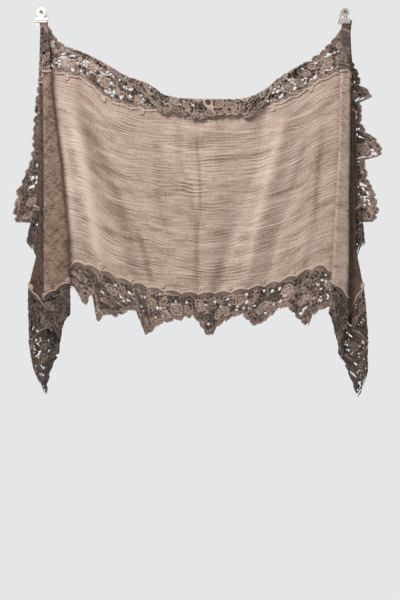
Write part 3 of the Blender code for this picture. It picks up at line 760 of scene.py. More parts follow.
def thin_wall(name: str, patch: Patch, out: Array, back: Array, cover: Array,
              marks: dict[str, Array], flat: Array, material: Material) -> Piece:
    """Closed thin wall on a patch, open where cover is below nought.

    The front lies out from the patch along its normals and the back lies back from it. A cell
    stays where the mean cover of its corners is above nought, if it joins the rest. A corner on
    the rim of what stays moves to where the cover is nought, by its value over its slope, and
    there front and back share one vertex. Where two such corners bound a side between two cells
    they are parted: they keep a thickness, and narrow side walls close the rim there. A cell
    with four corners on the rim gets a raised middle on the front. One with two shared vertices
    across from each other is cut in half between the other two, so that no edge joins them.

    Args:
        name: the piece's name.
        patch: the cloth's middle.
        out: distance of the front from it.
        back: distance of the back from it.
        cover: how far inside the cloth's outline each point is.
        marks: numbers kept at each point, by name.
        flat: place of each point on the flat cloth, in metres.
        material: the finish.

    Returns:
        The piece.
    """
    kept = one_group(sum(ring_of(cover)) > 0)
    around = np.pad(kept.astype(int), 1)
    touching = sum(ring_of(around))
    used, rim = touching > 0, (touching > 0) & (touching < 4)

    down_slope, across_slope = np.gradient(cover)
    steep = np.maximum(down_slope ** 2 + across_slope ** 2, 1e-6)
    near = rim & (np.abs(cover) < RIM_REACH * np.sqrt(steep))
    move_down = np.clip(-cover * down_slope / steep, -RIM_MOVE, RIM_MOVE) * near
    move_across = np.clip(-cover * across_slope / steep, -RIM_MOVE, RIM_MOVE) * near
    move_down[[0, -1]] = 0.0
    move_across[:, [0, -1]] = 0.0
    step_down, step_across = np.gradient(patch.points, axis=0), np.gradient(patch.points, axis=1)
    middle = patch.points + step_down * move_down[..., None] + step_across * move_across[..., None]

    parted = np.zeros(used.shape, bool)
    upright = kept[:, :-1] & kept[:, 1:] & rim[:-1, 1:-1] & rim[1:, 1:-1]
    level = kept[:-1] & kept[1:] & rim[1:-1, :-1] & rim[1:-1, 1:]
    parted[:-1, 1:-1] |= upright
    parted[1:, 1:-1] |= upright
    parted[1:-1, :-1] |= level
    parted[1:-1, 1:] |= level

    normals = patch.normals()
    thick = ~rim | parted
    between, half = (out - back) / 2, np.maximum((out + back) / 2, THIN_RIM) * thick
    front_points = (middle + normals * (between + half)[..., None])[used]
    second = used & thick
    back_points = (middle + normals * (between - half)[..., None])[second]
    front_number, count_back = (np.cumsum(kind).reshape(used.shape) - 1 for kind in (used, second))
    back_number = np.where(second, len(front_points) + count_back, front_number)

    narrow = kept & np.logical_and.reduce(ring_of(rim))
    shared = ring_of(rim & ~parted)
    one_way = kept & ~narrow & shared[0] & shared[2]
    other_way = kept & ~narrow & ~one_way & shared[1] & shared[3]
    whole = kept & ~one_way & ~other_way
    front, behind = corners(front_number, whole & ~narrow), corners(back_number, whole)[:, ::-1]
    outward = unit(corners(normals, narrow).mean(axis=1))
    ridge = corners(middle, narrow).mean(axis=1) + outward * corners(out, narrow).max(axis=1)[:, None]
    ridge_number = len(front_points) + len(back_points) + np.arange(len(ridge))[:, None]
    feet = corners(front_number, narrow)
    sides = [[side, (side + 1) % 4] for side in range(4)]
    roofs = [np.concatenate([feet[:, side], ridge_number], axis=1) for side in sides]
    for cells, halves in ((one_way, ((1, 2, 3), (3, 0, 1))), (other_way, ((0, 1, 2), (2, 3, 0)))):
        for half_cell in halves:
            roofs.append(corners(front_number, cells)[:, half_cell])
            roofs.append(corners(back_number, cells)[:, half_cell[::-1]])
    beside = around[1:-1, :-2], around[2:, 1:-1], around[1:-1, 2:], around[:-2, 1:-1]
    for side, neighbour in zip(sides, beside):
        edge = kept & (neighbour == 0)
        near, far = corners(front_number, edge)[:, side].T
        near_back, far_back = corners(back_number, edge)[:, side].T
        roofs.append(np.stack([far, near, near_back], axis=1)[near != near_back])
        roofs.append(np.stack([far, near_back, far_back], axis=1)[far != far_back])
    faces, roofs = np.concatenate([front, behind]), np.concatenate(roofs)
    if patch.front < 0:
        faces, roofs = faces[:, ::-1], roofs[:, ::-1]
    every = {mark: np.concatenate([values[used], values[second], corners(values, narrow).max(axis=1)])
             for mark, values in marks.items()}
    every_flat = np.concatenate([flat[used], flat[second], corners(flat, narrow).mean(axis=1)])
    points = np.concatenate([front_points, back_points, ridge])
    return add_mesh(name, points, faces, material, every, every_flat, roofs)


# Gauze

class Crease(NamedTuple):
    """Crease pressed or pulled into the middle: a soft line that sags between ends."""

    start_x: float
    start_z: float
    end_x: float
    end_z: float
    sag: float
    half_width: float
    height: float


CREASES = tuple(Crease(*row) for row in (
    (-305, -250, -135, -735, -12, 17, -1.8), (-332, -250, -240, -715, -8, 15, 3.2),
    (205, -262, 75, -745, 10, 15, 1.5), (322, -226, 205, -735, 8, 13, 1.2),
    (252, -258, 138, -730, 9, 11, 1.5), (-95, -280, -60, -640, 14, 16, -1.0),
    (-372, -270, -120, -420, 26, 5, 1.0), (-365, -330, -60, -470, 30, 5, -1.0),
    (-350, -250, -180, -330, 14, 4, 1.2), (-340, -420, -150, -520, 16, 4, 1.3),
    (-335, -520, -190, -600, 10, 5, -1.0), (-60, -300, 190, -318, 15, 4, 1.2),
    (-110, -345, 150, -372, 22, 5, 1.3), (-20, -395, 250, -352, 24, 4, -0.9),
    (40, -450, 330, -372, 26, 5, 1.0), (70, -520, 345, -430, 22, 6, -1.0),
    (110, -590, 350, -505, 20, 4, 1.0), (-140, -560, 60, -590, 14, 5, 1.2),
    (-120, -650, 20, -690, 10, 4, -0.9), (150, -660, 340, -590, 14, 5, 1.1),
    (230, -300, 372, -230, 10, 5, 1.6), (-240, -640, -120, -700, 8, 4, 1.4),
    (6, -300, 19, -580, -5, 3.4, -1.7), (16, -520, 13, -745, 4, 3.4, -1.3),
    (-160, -560, -108, -748, -6, 9, -1.9), (-352, -300, -318, -620, -6, 9, 1.8),
    (352, -300, 330, -600, 8, 8, -1.5)))


@dataclass(frozen=True)
class Crinkles:
    """Fine crinkles of the gauze: uneven short ridges that run along the shawl.

    Args:
        length: from one ridge to the next.
        height: of the tallest ridges.
        sag: how far they bow down between the clips.
        hatch: height of thin streaks that cross them aslant, both ways.
        seed: picks one set of crinkles.
    """

    length: float = 7.8
    height: float = 1.5
    sag: float = 26.0
    hatch: float = 0.0
    seed: int = 3

    def relief(self, along: Array, down: Array) -> Array:
        """Height of the crinkles: a sharpened wave under a patchy mask, soft lumps and streaks.

        The wave is warped by two noises, and bowed by the sag as a parabola across the middle.
        The streaks are two noises, each stretched along one slant.

        Args:
            along: distance along the shawl.
            down: distance across it, from the top seam.

        Returns:
            Height at each point.
        """
        seed, thin, long = self.seed, 4.6, 30
        warp = 15 * ripple(along / 150, down / 90, seed) + 6 * ripple(along / 46, down / 34, seed + 1)
        warp = warp - self.sag * (1 - (2 * along / CUT.middle_length - 1) ** 2)
        phase = (down + warp) / self.length
        ridge = 1 - arches(math.pi * phase, 0.8)
        patchy = smooth_step(0.42 + 0.9 * ripple(along / 58, (down + warp) / 15, seed + 2))
        soft = 1.1 * ripple(along / 60, down / 18, seed + 5)
        falling, rising = along + down, along - down
        streaks = ripple(falling / thin, rising / long, seed + 7)
        streaks = streaks + ripple(rising / thin, falling / long, seed + 8)
        return self.height * ((ridge - 0.4) * patchy + 0.2 * soft) + self.hatch * streaks


def crease_relief(x: Array, z: Array) -> Array:
    """The listed creases: a bell curve across each line, which bows by its sag and is eased.

    Args:
        x: places across the middle.
        z: heights.

    Returns:
        Height of the creases at each point.
    """
    eased = 0.25
    relief = np.zeros(x.shape)
    for crease in CREASES:
        way_x, way_z = crease.end_x - crease.start_x, crease.end_z - crease.start_z
        length = math.hypot(way_x, way_z)
        off_x, off_z = x - crease.start_x, z - crease.start_z
        passed = (off_x * way_x + off_z * way_z) / length ** 2
        aside = (off_z * way_x - off_x * way_z) / length
        bow = -crease.sag * 4 * passed * (1 - passed)
        ends = smooth_step(passed / eased) * smooth_step((1 - passed) / eased)
        relief += crease.height * np.exp(-((aside - bow) / crease.half_width) ** 2) * ends
    return relief


@dataclass
class Panel:
    """One stretch of cloth.

    Args:
        name: of the node it stands for.
        patch: its middle surface.
        flat_size: width and length of its cut, in metres; not used.
        held: how it is held; not used.
    """

    name: str
    patch: Patch
    flat_size: tuple[float, float]
    held: str


@dataclass
class GauzePanel(Panel):
    """One stretch of the gauze as a thin crinkled shell.

    Args:
        flat_start: where its first corner lies on the flat shawl, in millimetres.
        crinkles: its crinkles.
        shade: painted shade of each of its columns, as a share of full light from 0 to 1.
        calm: distance over which its relief fades at its sides.
        wall: thickness of the gauze.
    """

    flat_start: tuple[float, float]
    crinkles: Crinkles
    shade: Array
    calm: float = 14.0
    wall: float = 0.9

    def build(self, material: Material, creased: bool, trims: list[Piece]) -> None:
        """The crinkle mark is painted shade and light: 0.5 plus a share of the crinkles and a share
        of all the relief, darker in troughs and creases.

        Args:
            material: the gauze's finish.
            creased: whether the creases of the middle lie on it.
            trims: cords that lie on its seams; not used.
        """
        patch = self.patch
        across, down = patch.across_mm(), patch.down_mm()
        inward = np.minimum(down, down[-1] - down)
        sideways = np.minimum(across, across[:, -1:] - across)
        calm = smooth_step(inward / self.calm) * smooth_step(sideways / self.calm)
        fine = self.crinkles.relief(across + self.flat_start[0], down) * calm
        relief = fine
        if creased:
            relief = fine + crease_relief(patch.points[..., 0], patch.points[..., 2]) * calm
        half = np.full(relief.shape, self.wall / 2)
        flat = np.stack([across + self.flat_start[0], down + self.flat_start[1]], axis=-1) * MM
        # painted shade: the crinkle mark darkens the troughs of crinkles and creases and lightens
        # their ridges; the shade mark darkens shaded folds
        marks = {"crinkle": np.clip(0.5 + 0.21 * fine + 0.13 * relief, 0, 1),
                 "shade": np.broadcast_to(self.shade, relief.shape)}
        piece = thin_wall(f"{self.name}_cloth", patch, relief + half, half - relief,
                          np.ones(relief.shape), marks, flat, material)
        hang(piece, Slot.GAUZE, self.name)


# Felted lace

class Felt(NamedTuple):
    """Felt at each point: how far inside its outline, how thick, and how light."""

    cover: Array
    height: Array
    tone: Array


def cord(distance: Array, radius: Array | float, tone: Array | float) -> Felt:
    """Round cord along a line: its height is a circle's, by the distance from the line.

    Args:
        distance: from the middle of the cord.
        radius: of the cord.
        tone: how light it is.

    Returns:
        The felt of the cord.
    """
    inside = radius - distance
    height = np.sqrt(np.maximum(radius ** 2 - np.minimum(distance, radius) ** 2, 0.0))
    return Felt(inside, height, np.broadcast_to(tone, distance.shape))


def web(inside: Array, height: float, tone: Array | float) -> Felt:
    """Flat felt inside an outline, eased to nothing over its last millimetre."""
    return Felt(inside, height * smooth_step(inside / 1.2), np.broadcast_to(tone, inside.shape))


def joined(*felts: Felt) -> Felt:
    """Felts merged: the furthest cover, and the height and tone of the thickest.

    Args:
        felts: over the same points.

    Returns:
        The merged felt.
    """
    cover, height, tone = felts[0]
    for felt in felts[1:]:
        higher = felt.height > height
        cover = np.maximum(cover, felt.cover)
        tone = np.where(higher, felt.tone, tone)
        height = np.maximum(height, felt.height)
    return Felt(cover, height, tone)


class BorderSide(NamedTuple):
    """Where the points of a lace piece lie on the border: along it, and between its two lines."""

    along: Array
    from_seam: Array
    to_edge: Array | float
    width: Array | float


class Ground(Enum):
    """What the net between the motifs is like."""

    DENSE = 0.84
    MIXED = 0.66
    OPEN = 0.50


@dataclass(frozen=True)
class LacePattern:
    """Generic freeform lace: a net with felted cells, rosettes, leaves and edge cords.

    Args:
        ground: share of the net's cells that are felted over.
        cell: usual width of a net cell.
        net_radius: radius of the net's cords.
        repeat: from one rosette to the next.
        scallop: from one scallop of the seam to the next.
        scallop_rise: how far each scallop reaches over the gauze.
        shade: how much darker it is than felt in full light.
        lobe_repeat: from one knob of the free edge to the next.
        lobe_depth: depth of the usual notch between two knobs.
        seed: picks one net.
    """

    ground: Ground = Ground.MIXED
    cell: float = 8.6
    net_radius: float = 1.35
    repeat: float = 64.0
    scallop: float = 46.0
    scallop_rise: float = 8.0
    shade: float = 0.0
    lobe_repeat: float = 25.0
    lobe_depth: float = 7.0
    seed: int = 11

    def net(self, side: BorderSide) -> Felt:
        """Net of uneven cells, some of them felted over in near-black felt as painted shade, with
        cords on the borders.

        Args:
            side: where the points lie.

        Returns:
            The net's felt.
        """
        along, down = side.along, side.from_seam
        wander = 4 * ripple(along / 37, down / 31, self.seed + 5)
        wander = wander + 2.2 * ripple(along / 9, down / 8, self.seed + 4)
        cells = uneven_cells(along * 0.86 + wander, down + wander, self.cell, self.seed)
        radius = self.net_radius * (1 + 0.28 * ripple(along / 13, down / 11, self.seed + 6))
        tone = 0.46 + 0.24 * ripple(along / 23, down / 17, self.seed + 7)
        cords = cord(cells.border, radius, tone)
        # painted shade: the felted cells are near black, standing for shadowed holes and the layers
        # behind
        felted = np.where(cells.chance < self.ground.value, cells.border + 0.4, NOWHERE)
        return joined(cords, web(felted, 0.35, 0.02 + 0.3 * cells.chance ** 2))

    def scrolls(self, side: BorderSide) -> Felt:
        """Light cords that wander over the net: lines on which one of two noises is nought.

        Args:
            side: where the points lie.

        Returns:
            The scrolls' felt.
        """
        along, down = side.along, side.from_seam
        light = 0.56 + 0.16 * ripple(along / 41, down / 29, self.seed + 15)
        first = 19 * np.abs(ripple(along / 30, down / 22, self.seed + 13))
        second = 15 * np.abs(ripple(along / 17, down / 25, self.seed + 14))
        return joined(cord(first, 1.6, light), cord(second, 1.25, light - 0.08))

    def rosettes(self, side: BorderSide) -> Felt:
        """Rings with eight spokes, one in each repeat, high and low by turns.

        Args:
            side: where the points lie.

        Returns:
            The rosettes' felt.
        """
        number = np.round(side.along / self.repeat)
        sway = scatter(number, number * 0, self.seed + 8) - 0.5
        centre = number * self.repeat + 9 * sway
        height = np.where(number % 2 == 0, 0.34, 0.58) * np.clip(side.width, 60, 130)
        off_x, off_y = side.along - centre, side.from_seam - height
        reach = np.hypot(off_x, off_y * (1 + 0.2 * sway))
        size = 12.5 + 4 * (scatter(number, number * 0, self.seed + 9) - 0.5)
        turn = np.arctan2(off_y, off_x) + sway
        spokes = reach * np.abs(np.sin(4 * turn)) / 4
        light = 0.66 + 0.2 * sway
        return joined(
            web(size - reach, 0.4, 0.2),
            cord(np.where(reach < size, spokes, FAR), 1.1, light - 0.08),
            cord(np.abs(reach - size), 2.0, light),
            cord(np.abs(reach - size * 0.5), 1.5, light + 0.06),
            cord(reach, 2.2, light + 0.1))

    def leaves(self, side: BorderSide) -> Felt:
        """Pointed leaves between the rosettes: where two discs overlap, with a mid vein.

        Args:
            side: where the points lie.

        Returns:
            The leaves' felt.
        """
        half_long, half_wide, rib_gap = 16.0, 6.5, 5.0
        shifted = side.along + self.repeat / 2
        number = np.round(shifted / self.repeat)
        even = number % 2 == 0
        off_x = shifted - number * self.repeat
        off_y = side.from_seam - np.where(even, 0.66, 0.30) * np.clip(side.width, 60, 130)
        chance = scatter(number, number * 0, self.seed + 10)
        lean = 0.9 * np.where(even, 1.0, -1.0) + 0.4 * (chance - 0.5)
        lengthwise = off_x * np.cos(lean) + off_y * np.sin(lean)
        aside = np.abs(off_y * np.cos(lean) - off_x * np.sin(lean))
        disc = (half_long ** 2 + half_wide ** 2) / (2 * half_wide)
        outline = disc - np.hypot(lengthwise, aside + disc - half_wide)
        ribs = np.abs((lengthwise + 1.2 * aside) % rib_gap - rib_gap / 2)
        vein, ribs = np.where(outline > 0, aside, FAR), np.where(outline > 0, ribs, FAR)
        return joined(
            web(outline, 0.4, 0.2),
            cord(ribs, 0.8, 0.46),
            cord(vein, 1.3, 0.62),
            cord(np.abs(outline), 1.7, 0.6))

    def scallops(self, side: BorderSide) -> Felt:
        """Band of felt over the seam: its upper line is a row of arches over the gauze.

        Args:
            side: where the points lie, from_seam being minus over the gauze.

        Returns:
            The band's felt.
        """
        along, down = side.along, side.from_seam
        rib_gap = 6.4
        under = down + self.scallop_rise * arches(math.pi * along / self.scallop, 0.8)
        ribs = np.abs((along + 0.25 * down) % rib_gap - rib_gap / 2)
        return joined(
            web(np.minimum(under, 7.0 - down), 0.7, 0.42),
            cord(np.where((under > 0) & (down < 9), ribs, FAR), 1.0, 0.62),
            cord(np.abs(under - 1.6), 1.8, 0.85))

    def edge_cords(self, to_edge: Array, along: Array) -> Felt:
        """Two cords along the free edge, with small loops between them.

        Args:
            to_edge: distance from the free edge.
            along: distance along the border.

        Returns:
            The edge's felt.
        """
        loop_gap = 9.5
        loops = np.hypot((along % loop_gap) - loop_gap / 2, to_edge - 6.6)
        # painted shade: the thin felt between the two edge cords is near black
        return joined(
            web(np.minimum(to_edge, 12.0 - to_edge), 0.35, 0.08),
            cord(np.abs(to_edge - 1.7), 1.9, 0.58),
            cord(np.abs(loops - 3.7), 1.2, 0.5),
            cord(np.abs(to_edge - 12.2), 1.5, 0.5))

    def knobs(self, along: Array) -> Array:
        """How far the free edge is cut back: sharp notches of uneven depth between round knobs.

        Args:
            along: distance along the border.

        Returns:
            The depth of the cut.
        """
        place = (along + 7 * ripple(along / 50, along * 0, self.seed + 17)) / self.lobe_repeat
        chance = scatter(np.round(place), place * 0, self.seed + 18)
        return self.lobe_depth * (0.4 + 1.2 * chance) * (1 - arches(math.pi * place, 0.7))

    def felt(self, side: BorderSide) -> Felt:
        """All motifs merged, with the net left out over the gauze and past the edge.

        Args:
            side: where the points lie.

        Returns:
            The felt at each point.
        """
        merged = joined(self.net(side), self.scrolls(side), self.leaves(side), self.rosettes(side))
        along, from_seam = side.along, side.from_seam
        notch = 1 - arches(math.pi * along / 12.5, 0.6)
        ragged = smooth_step(0.5 + ripple(along / 19, along * 0, self.seed + 12))
        to_edge = side.to_edge - 2.8 * notch - 2.2 * ragged - self.knobs(along)
        over_gauze = from_seam < 3.0
        merged = Felt(np.where(over_gauze, NOWHERE, merged.cover),
                      np.where(over_gauze, 0.0, merged.height), merged.tone)
        merged = joined(merged, self.scallops(side), self.edge_cords(to_edge, along))
        return Felt(np.minimum(merged.cover, to_edge), merged.height * smooth_step(to_edge / 1.5),
                    merged.tone - self.shade)


@dataclass
class LacePanel(Panel):
    """One stretch of the lace border as cut-through felt.

    Args:
        cut_area: flat area inside its outline, gaps included, in square metres; not used.
        side: where its points lie on the border.
        pattern: its motifs.
        thin: share of its full thickness at each point.
        over: how far its felt lies in front of the gauze where it overlaps.
        front_rise: height of its front, against that of its motifs.
        back_share: how much of that its back has.
    """

    cut_area: float
    side: BorderSide
    pattern: LacePattern
    thin: Array | float
    over: float = 1.0
    front_rise: float = 1.25
    back_share: float = 0.7

    def build(self, material: Material) -> None:
        """Args:
            material: the felt's finish.
        """
        side = self.side
        felt = self.pattern.felt(side)
        swell = 0.8 * ripple(side.along / 21, side.from_seam / 19, self.pattern.seed + 20) * self.thin
        forward = self.over * smooth_step((6 - side.from_seam) / 5) + swell
        height = self.front_rise * felt.height * self.thin
        flat = np.stack([side.along, side.from_seam], axis=-1) * MM
        # painted shade: lace gathered in the clip is darker, as its own folds would shade it
        painted_gather_shade = 0.24 * (1 - self.thin)
        # the height mark gives the bump, and in the finish painted shade where low and painted light
        # where high
        marks = {"tone": np.clip(felt.tone - painted_gather_shade, 0, 1),
                 "height": np.clip(felt.height / 2.2, 0, 1)}
        piece = thin_wall(f"{self.name}_felt", self.patch, forward + height,
                          self.back_share * height - forward, felt.cover, marks, flat, material)
        hang(piece, Slot.LACE, self.name)


# Seam trim

@dataclass(frozen=True)
class Trim:
    """Light cord along a seam, in arches over the gauze, with curls that stand on it.

    Args:
        radius: of the cord.
        lace: the lace below it, whose scallops its arches follow.
        step: length between two points of the cord.
        curl_gap: from one curl to the next.
        curl_size: radius of a curl's outer turn.
        curl_turns: turns of each curl.
        sides: of the cord's section.
        tone: how light its felt is.
        seed: picks the curls' unevenness.
    """

    radius: float = 2.1
    lace: LacePattern = LacePattern()
    step: float = 2.4
    curl_gap: float = 92.0
    curl_size: float = 8.4
    curl_turns: float = 1.7
    sides: int = 6
    tone: float = 0.72
    seed: int = 5

    def lines(self, length: float) -> list[Array]:
        """Lines of the trim on the flat border: arches all along, and a spiral at each gap.

        Args:
            length: of the seam.

        Returns:
            Lines as rows of (along, from seam).
        """
        along = np.arange(2.0, length - 2.0, self.step)
        rise = self.lace.scallop_rise
        arch = -rise * arches(math.pi * along / self.lace.scallop, 0.8)
        lines = [np.stack([along, arch + 0.6 * ripple(along / 9, along * 0, self.seed)], axis=-1)]
        turn = np.linspace(0, 1, 30)
        for number in range(int(length // self.curl_gap)):
            chance = scatter(np.array([number]), np.array([1]), self.seed)[0]
            middle = (number + 0.5) * self.curl_gap + 26 * (chance - 0.5)
            way = 1 if number % 2 else -1
            reach = self.curl_size * (0.8 + 0.4 * chance) * (1 - 0.86 * turn)
            angle = math.pi / 2 + way * turn * self.curl_turns * 2 * math.pi
            above = -rise * 0.7 - self.curl_size * 0.9 + reach * np.sin(angle)
            lines.append(np.stack([middle + reach * np.cos(angle), above], axis=-1))
        return lines


def tube(centres: Array, normals: Array, radius: Array, sides: int) -> tuple[Array, Array]:
    """Closed tube along a line: a ring of points round each centre, in its normal's plane.

    Each ring lies at the radius round its centre, turned from the normal towards the side way,
    which is the line's own direction crossed with the normal. Its ends close on one point.

    Args:
        centres: points of the line.
        normals: direction out of the cloth at each.
        radius: of the tube at each.
        sides: points in a ring.

    Returns:
        Vertices, and triangles as vertex numbers.
    """
    ways = unit(np.gradient(centres, axis=0))
    aside = unit(np.cross(ways, normals))
    up = unit(np.cross(aside, ways))
    turn = ring_angles(sides)
    rings = (centres[:, None] + radius[:, None, None] * (
        np.cos(turn)[None, :, None] * up[:, None] + np.sin(turn)[None, :, None] * aside[:, None]))
    vertices = np.concatenate([rings.reshape(-1, 3), centres[:1], centres[-1:]])
    walls = grid_faces(len(centres), sides, closed=True)
    return vertices, np.concatenate([walls[:, [0, 3, 2]], walls[:, [0, 2, 1]],
                                     end_caps(len(centres), sides)])


@dataclass
class Seam:
    """Seam between gauze and lace, as a line across a stretch of cloth.

    Args:
        place: from column numbers and distances along to points.
        columns: even column numbers across the stretch.
        line: where the seam lies on each of them.
        gauze_way: 1 if the gauze lies further along, or -1.
        front: 1 or -1, as on the patches of that stretch.
    """

    place: Place
    columns: Array
    line: Array
    gauze_way: int
    front: int

    def passed(self) -> Array:
        """Length of seam passed at each column."""
        return passed_length(self.place(self.columns, self.line))

    def lay(self, line: Array, lift: float) -> tuple[Array, Array]:
        """Places and normals of a flat line laid on the cloth along this seam.

        Args:
            line: rows of (along, from seam).
            lift: height above the cloth's middle.

        Returns:
            Points and normals.
        """
        passed = self.passed()
        column = np.interp(line[:, 0], passed, self.columns)
        beside = np.interp(column, self.columns, self.line) - self.gauze_way * line[:, 1]
        step = 1e-3 * (self.columns[-1] - self.columns[0])
        low, high = self.columns[0] + step, self.columns[-1] - step
        inner = np.clip(column, low, high)
        across = self.place(inner + step, beside) - self.place(inner - step, beside)
        down = self.place(inner, beside + 0.5) - self.place(inner, beside - 0.5)
        normals = unit(np.cross(down, across)) * self.front
        return self.place(column, beside) + normals * lift, normals


def build_trim(name: str, seams: list[Seam], trim: Trim,
               material: Material) -> Piece:
    """Lay a trim on one or more seams and join it as one piece.

    Args:
        name: the piece's name.
        seams: the seams it lies on.
        trim: its sizes.
        material: the felt's finish.

    Returns:
        The piece.
    """
    vertices, faces, count, end = [], [], 0, 0.04
    for seam in seams:
        for number, line in enumerate(trim.lines(float(seam.passed()[-1]))):
            centres, normals = seam.lay(line, trim.radius * 0.8)
            share = np.linspace(0, 1, len(line))
            swell = 1 + 0.22 * ripple(line[:, 0] / 8, line[:, 1] / 8, trim.seed + number)
            slim = 0.35 + 0.65 * smooth_step(share / end) * smooth_step((1 - share) / end)
            points, triangles = tube(centres, normals, trim.radius * swell * slim, trim.sides)
            vertices.append(points)
            faces.append(triangles + count)
            count += len(points)
    points = np.concatenate(vertices)
    # painted light: the high height mark makes the cords light in the finish
    marks = {"tone": np.full(count, trim.tone), "height": np.full(count, 0.9)}
    piece = add_mesh(name, points, np.concatenate(faces), material, marks, points[:, [0, 2]] * MM)
    hang(piece, Slot.LACE)
    return piece


# The shawl

@dataclass
class Middle:
    """Middle of the shawl, between the pleats: gauze, top lace with its flap, and hem lace.

    Args:
        gauze_finish: looks of the gauze.
        felt: looks of the lace and the cords.
        gauze_step: size of the gauze's mesh, across and down.
        lace_step: size of the lace's mesh.
        trim_step: length between two columns of a seam.
        overlap: how far the lace may reach over the gauze.
    """

    gauze_finish: Material
    felt: Material
    gauze_step: tuple[float, float] = (5.6, 2.3)
    lace_step: float = 1.9
    trim_step: float = 3.0
    overlap: float = 10.0

    def columns(self, along: float, step: float) -> Array:
        """Even columns across the middle, measured at one height."""
        return even_columns(DRAPE.middle_place, 0.0, 1.0, along, step)

    def along(self, patch: Patch) -> Array:
        """Length of cloth passed along each row, from its middle column."""
        along = patch.across_mm()
        return along - along[:, [along.shape[1] // 2]]

    def gauze(self, trims: list[Piece]) -> None:
        """Gauze from the top seam to the hem seam.

        Args:
            trims: cords that lie on its seams.
        """
        columns = self.columns(-500, self.gauze_step[0])
        top, hem = (DRAPE.meet_outline(columns, seam)[0] for seam in (TOP_SEAM, HEM_SEAM))
        rows = round(float(np.max(top - hem)) / self.gauze_step[1])
        patch = Patch(DRAPE.middle_place, columns, top, hem, rows)
        panel = GauzePanel("gauze_centre", patch, (0.937, 0.565), "hung", (0.0, CUT.top_lace),
                           Crinkles(), np.ones(len(columns)))
        panel.build(self.gauze_finish, True, trims)

    def hem_lace(self) -> None:
        """Hem lace with its points, from a little over the seam down to the free edge."""
        columns = self.columns(-780, self.lace_step)
        seam, edge = (DRAPE.meet_outline(columns, line)[0] for line in (HEM_SEAM, HEM))
        start = seam + self.overlap
        rows = round(float(np.mean(start - edge)) / self.lace_step)
        patch = Patch(DRAPE.middle_place, columns, start, edge, rows)
        along = self.along(patch)
        slope = np.gradient(edge) / np.gradient(along[-1])
        to_edge = (patch.along - edge) / np.sqrt(1 + slope ** 2)
        side = BorderSide(along, seam - patch.along, to_edge, seam - edge)
        panel = LacePanel("lace_hem_centre", patch, (0.937, 0.142), "hung", 0.1068, side,
                          LacePattern(Ground.DENSE, shade=0.04), 1.0)
        panel.build(self.felt)

    def flap_place(self, columns: Array) -> tuple[Place, Array]:
        """Top lace: up from the seam to the top of the swag, over a bend, and down as a flap.

        Up to the rise it follows the middle. Past that it turns about a bend of its own
        radius, half a circle at most, and the rest hangs straight with a slight lean.

        Args:
            columns: shares across the middle.

        Returns:
            The place function of (share, length from the seam), and the whole length.
        """
        seam = DRAPE.meet_outline(columns, TOP_SEAM)[0]
        top, top_x = DRAPE.meet_outline(columns, SWAG_TOP)
        flap = FLAP.at(top_x)
        free = smooth_step((DRAPE.clip_x - DRAPE.flap_free[0] - np.abs(top_x)) / DRAPE.flap_free[1])
        bend = DRAPE.flap_bend * (DRAPE.flap_straight / DRAPE.flap_bend) ** (1 - free)
        rise = top - bend * np.sin(np.minimum(flap / bend, math.pi / 2)) - seam
        flap = flap + 2.5 * np.sin(top_x / 7.2) * smooth_step(flap / 30)

        def place(share: Array, length: Array) -> Array:
            """Point of the top lace at a share and a length from the seam."""
            own_seam, own_rise, own_bend = (
                np.interp(share, columns, values) for values in (seam, rise, bend))
            places = DRAPE.middle_place(share, own_seam + np.minimum(length, own_rise))
            over = np.maximum(length - own_rise, 0.0)
            turn = np.minimum(over / own_bend, math.pi)
            hanging = over - turn * own_bend
            places[..., 1] -= own_bend * (1 - np.cos(turn)) + DRAPE.flap_lean * hanging
            places[..., 2] += own_bend * np.sin(turn) - hanging
            return places

        return place, rise + flap

    def top_lace(self) -> None:
        """Top lace of the swag and its flap."""
        columns = self.columns(-230, self.lace_step)
        place, end = self.flap_place(columns)
        start = np.full(len(columns), -self.overlap)
        length = float(np.mean(end - start))
        patch = Patch(place, columns, start, end, round(length / self.lace_step), front=-1)
        side = BorderSide(self.along(patch), patch.along, end - patch.along, end)
        drop = DRAPE.cloth_top - patch.points[..., 2]
        thin = 0.35 + 0.65 * smooth_step((drop - 20) / 100)
        panel = LacePanel("lace_top_centre", patch, (0.937, 0.145), "hung", 0.937 * length * MM, side,
                          LacePattern(Ground.OPEN, cell=9.8, seed=31), thin)
        panel.build(self.felt)

    def trim(self) -> list[Piece]:
        """Cords and curls on the hem seam and the top seam."""
        pieces = []
        for name, line, height, gauze_way, trim in (
                ("trim_hem_centre", HEM_SEAM, -720, 1, Trim()),
                ("trim_top_centre", TOP_SEAM, -250, -1, Trim(seed=9, curl_gap=118.0))):
            columns = self.columns(height, self.trim_step)
            seam = DRAPE.meet_outline(columns, line)[0]
            lines = [Seam(DRAPE.middle_place, columns, seam, gauze_way, -1)]
            pieces.append(build_trim(name, lines, trim, self.felt))
        return pieces


class TailLook(NamedTuple):
    """What sets the look of one tail apart from the other's.

    Args:
        hatch: height of the streaks across the crinkles of its gauze.
        light: share of full light on its gauze at each fold number of the table below, as painted
            shade.
        outer_ground: net of the lace on its outer edge.
        outer_shade: how much darker that lace is than felt in full light.
        end_shade: the same of the lace of its lower end.
        hem_shown: length of its hem lace that shows, in metres.
    """

    hatch: float
    light: tuple[float, ...]
    outer_ground: Ground
    outer_shade: float
    end_shade: float
    hem_shown: float


# Painted shade of the tails' gauze by fold number: the left pleat darker than the right, and the
# folds under each pleat near black as their shadow.
PAINTED_SHADE_FOLDS = (0.0, 0.9, 1.1, 1.95, 2.1, 7.0)
LOOKS = {
    "left": TailLook(0.7, (0.55, 0.36, 0.42, 0.54, 0.14, 0.08), Ground.DENSE, 0.08, 0.33, 0.265),
    "right": TailLook(0.35, (0.9, 0.8, 0.95, 0.95, 0.25, 0.3), Ground.OPEN, 0.0, 0.23, 0.215),
}


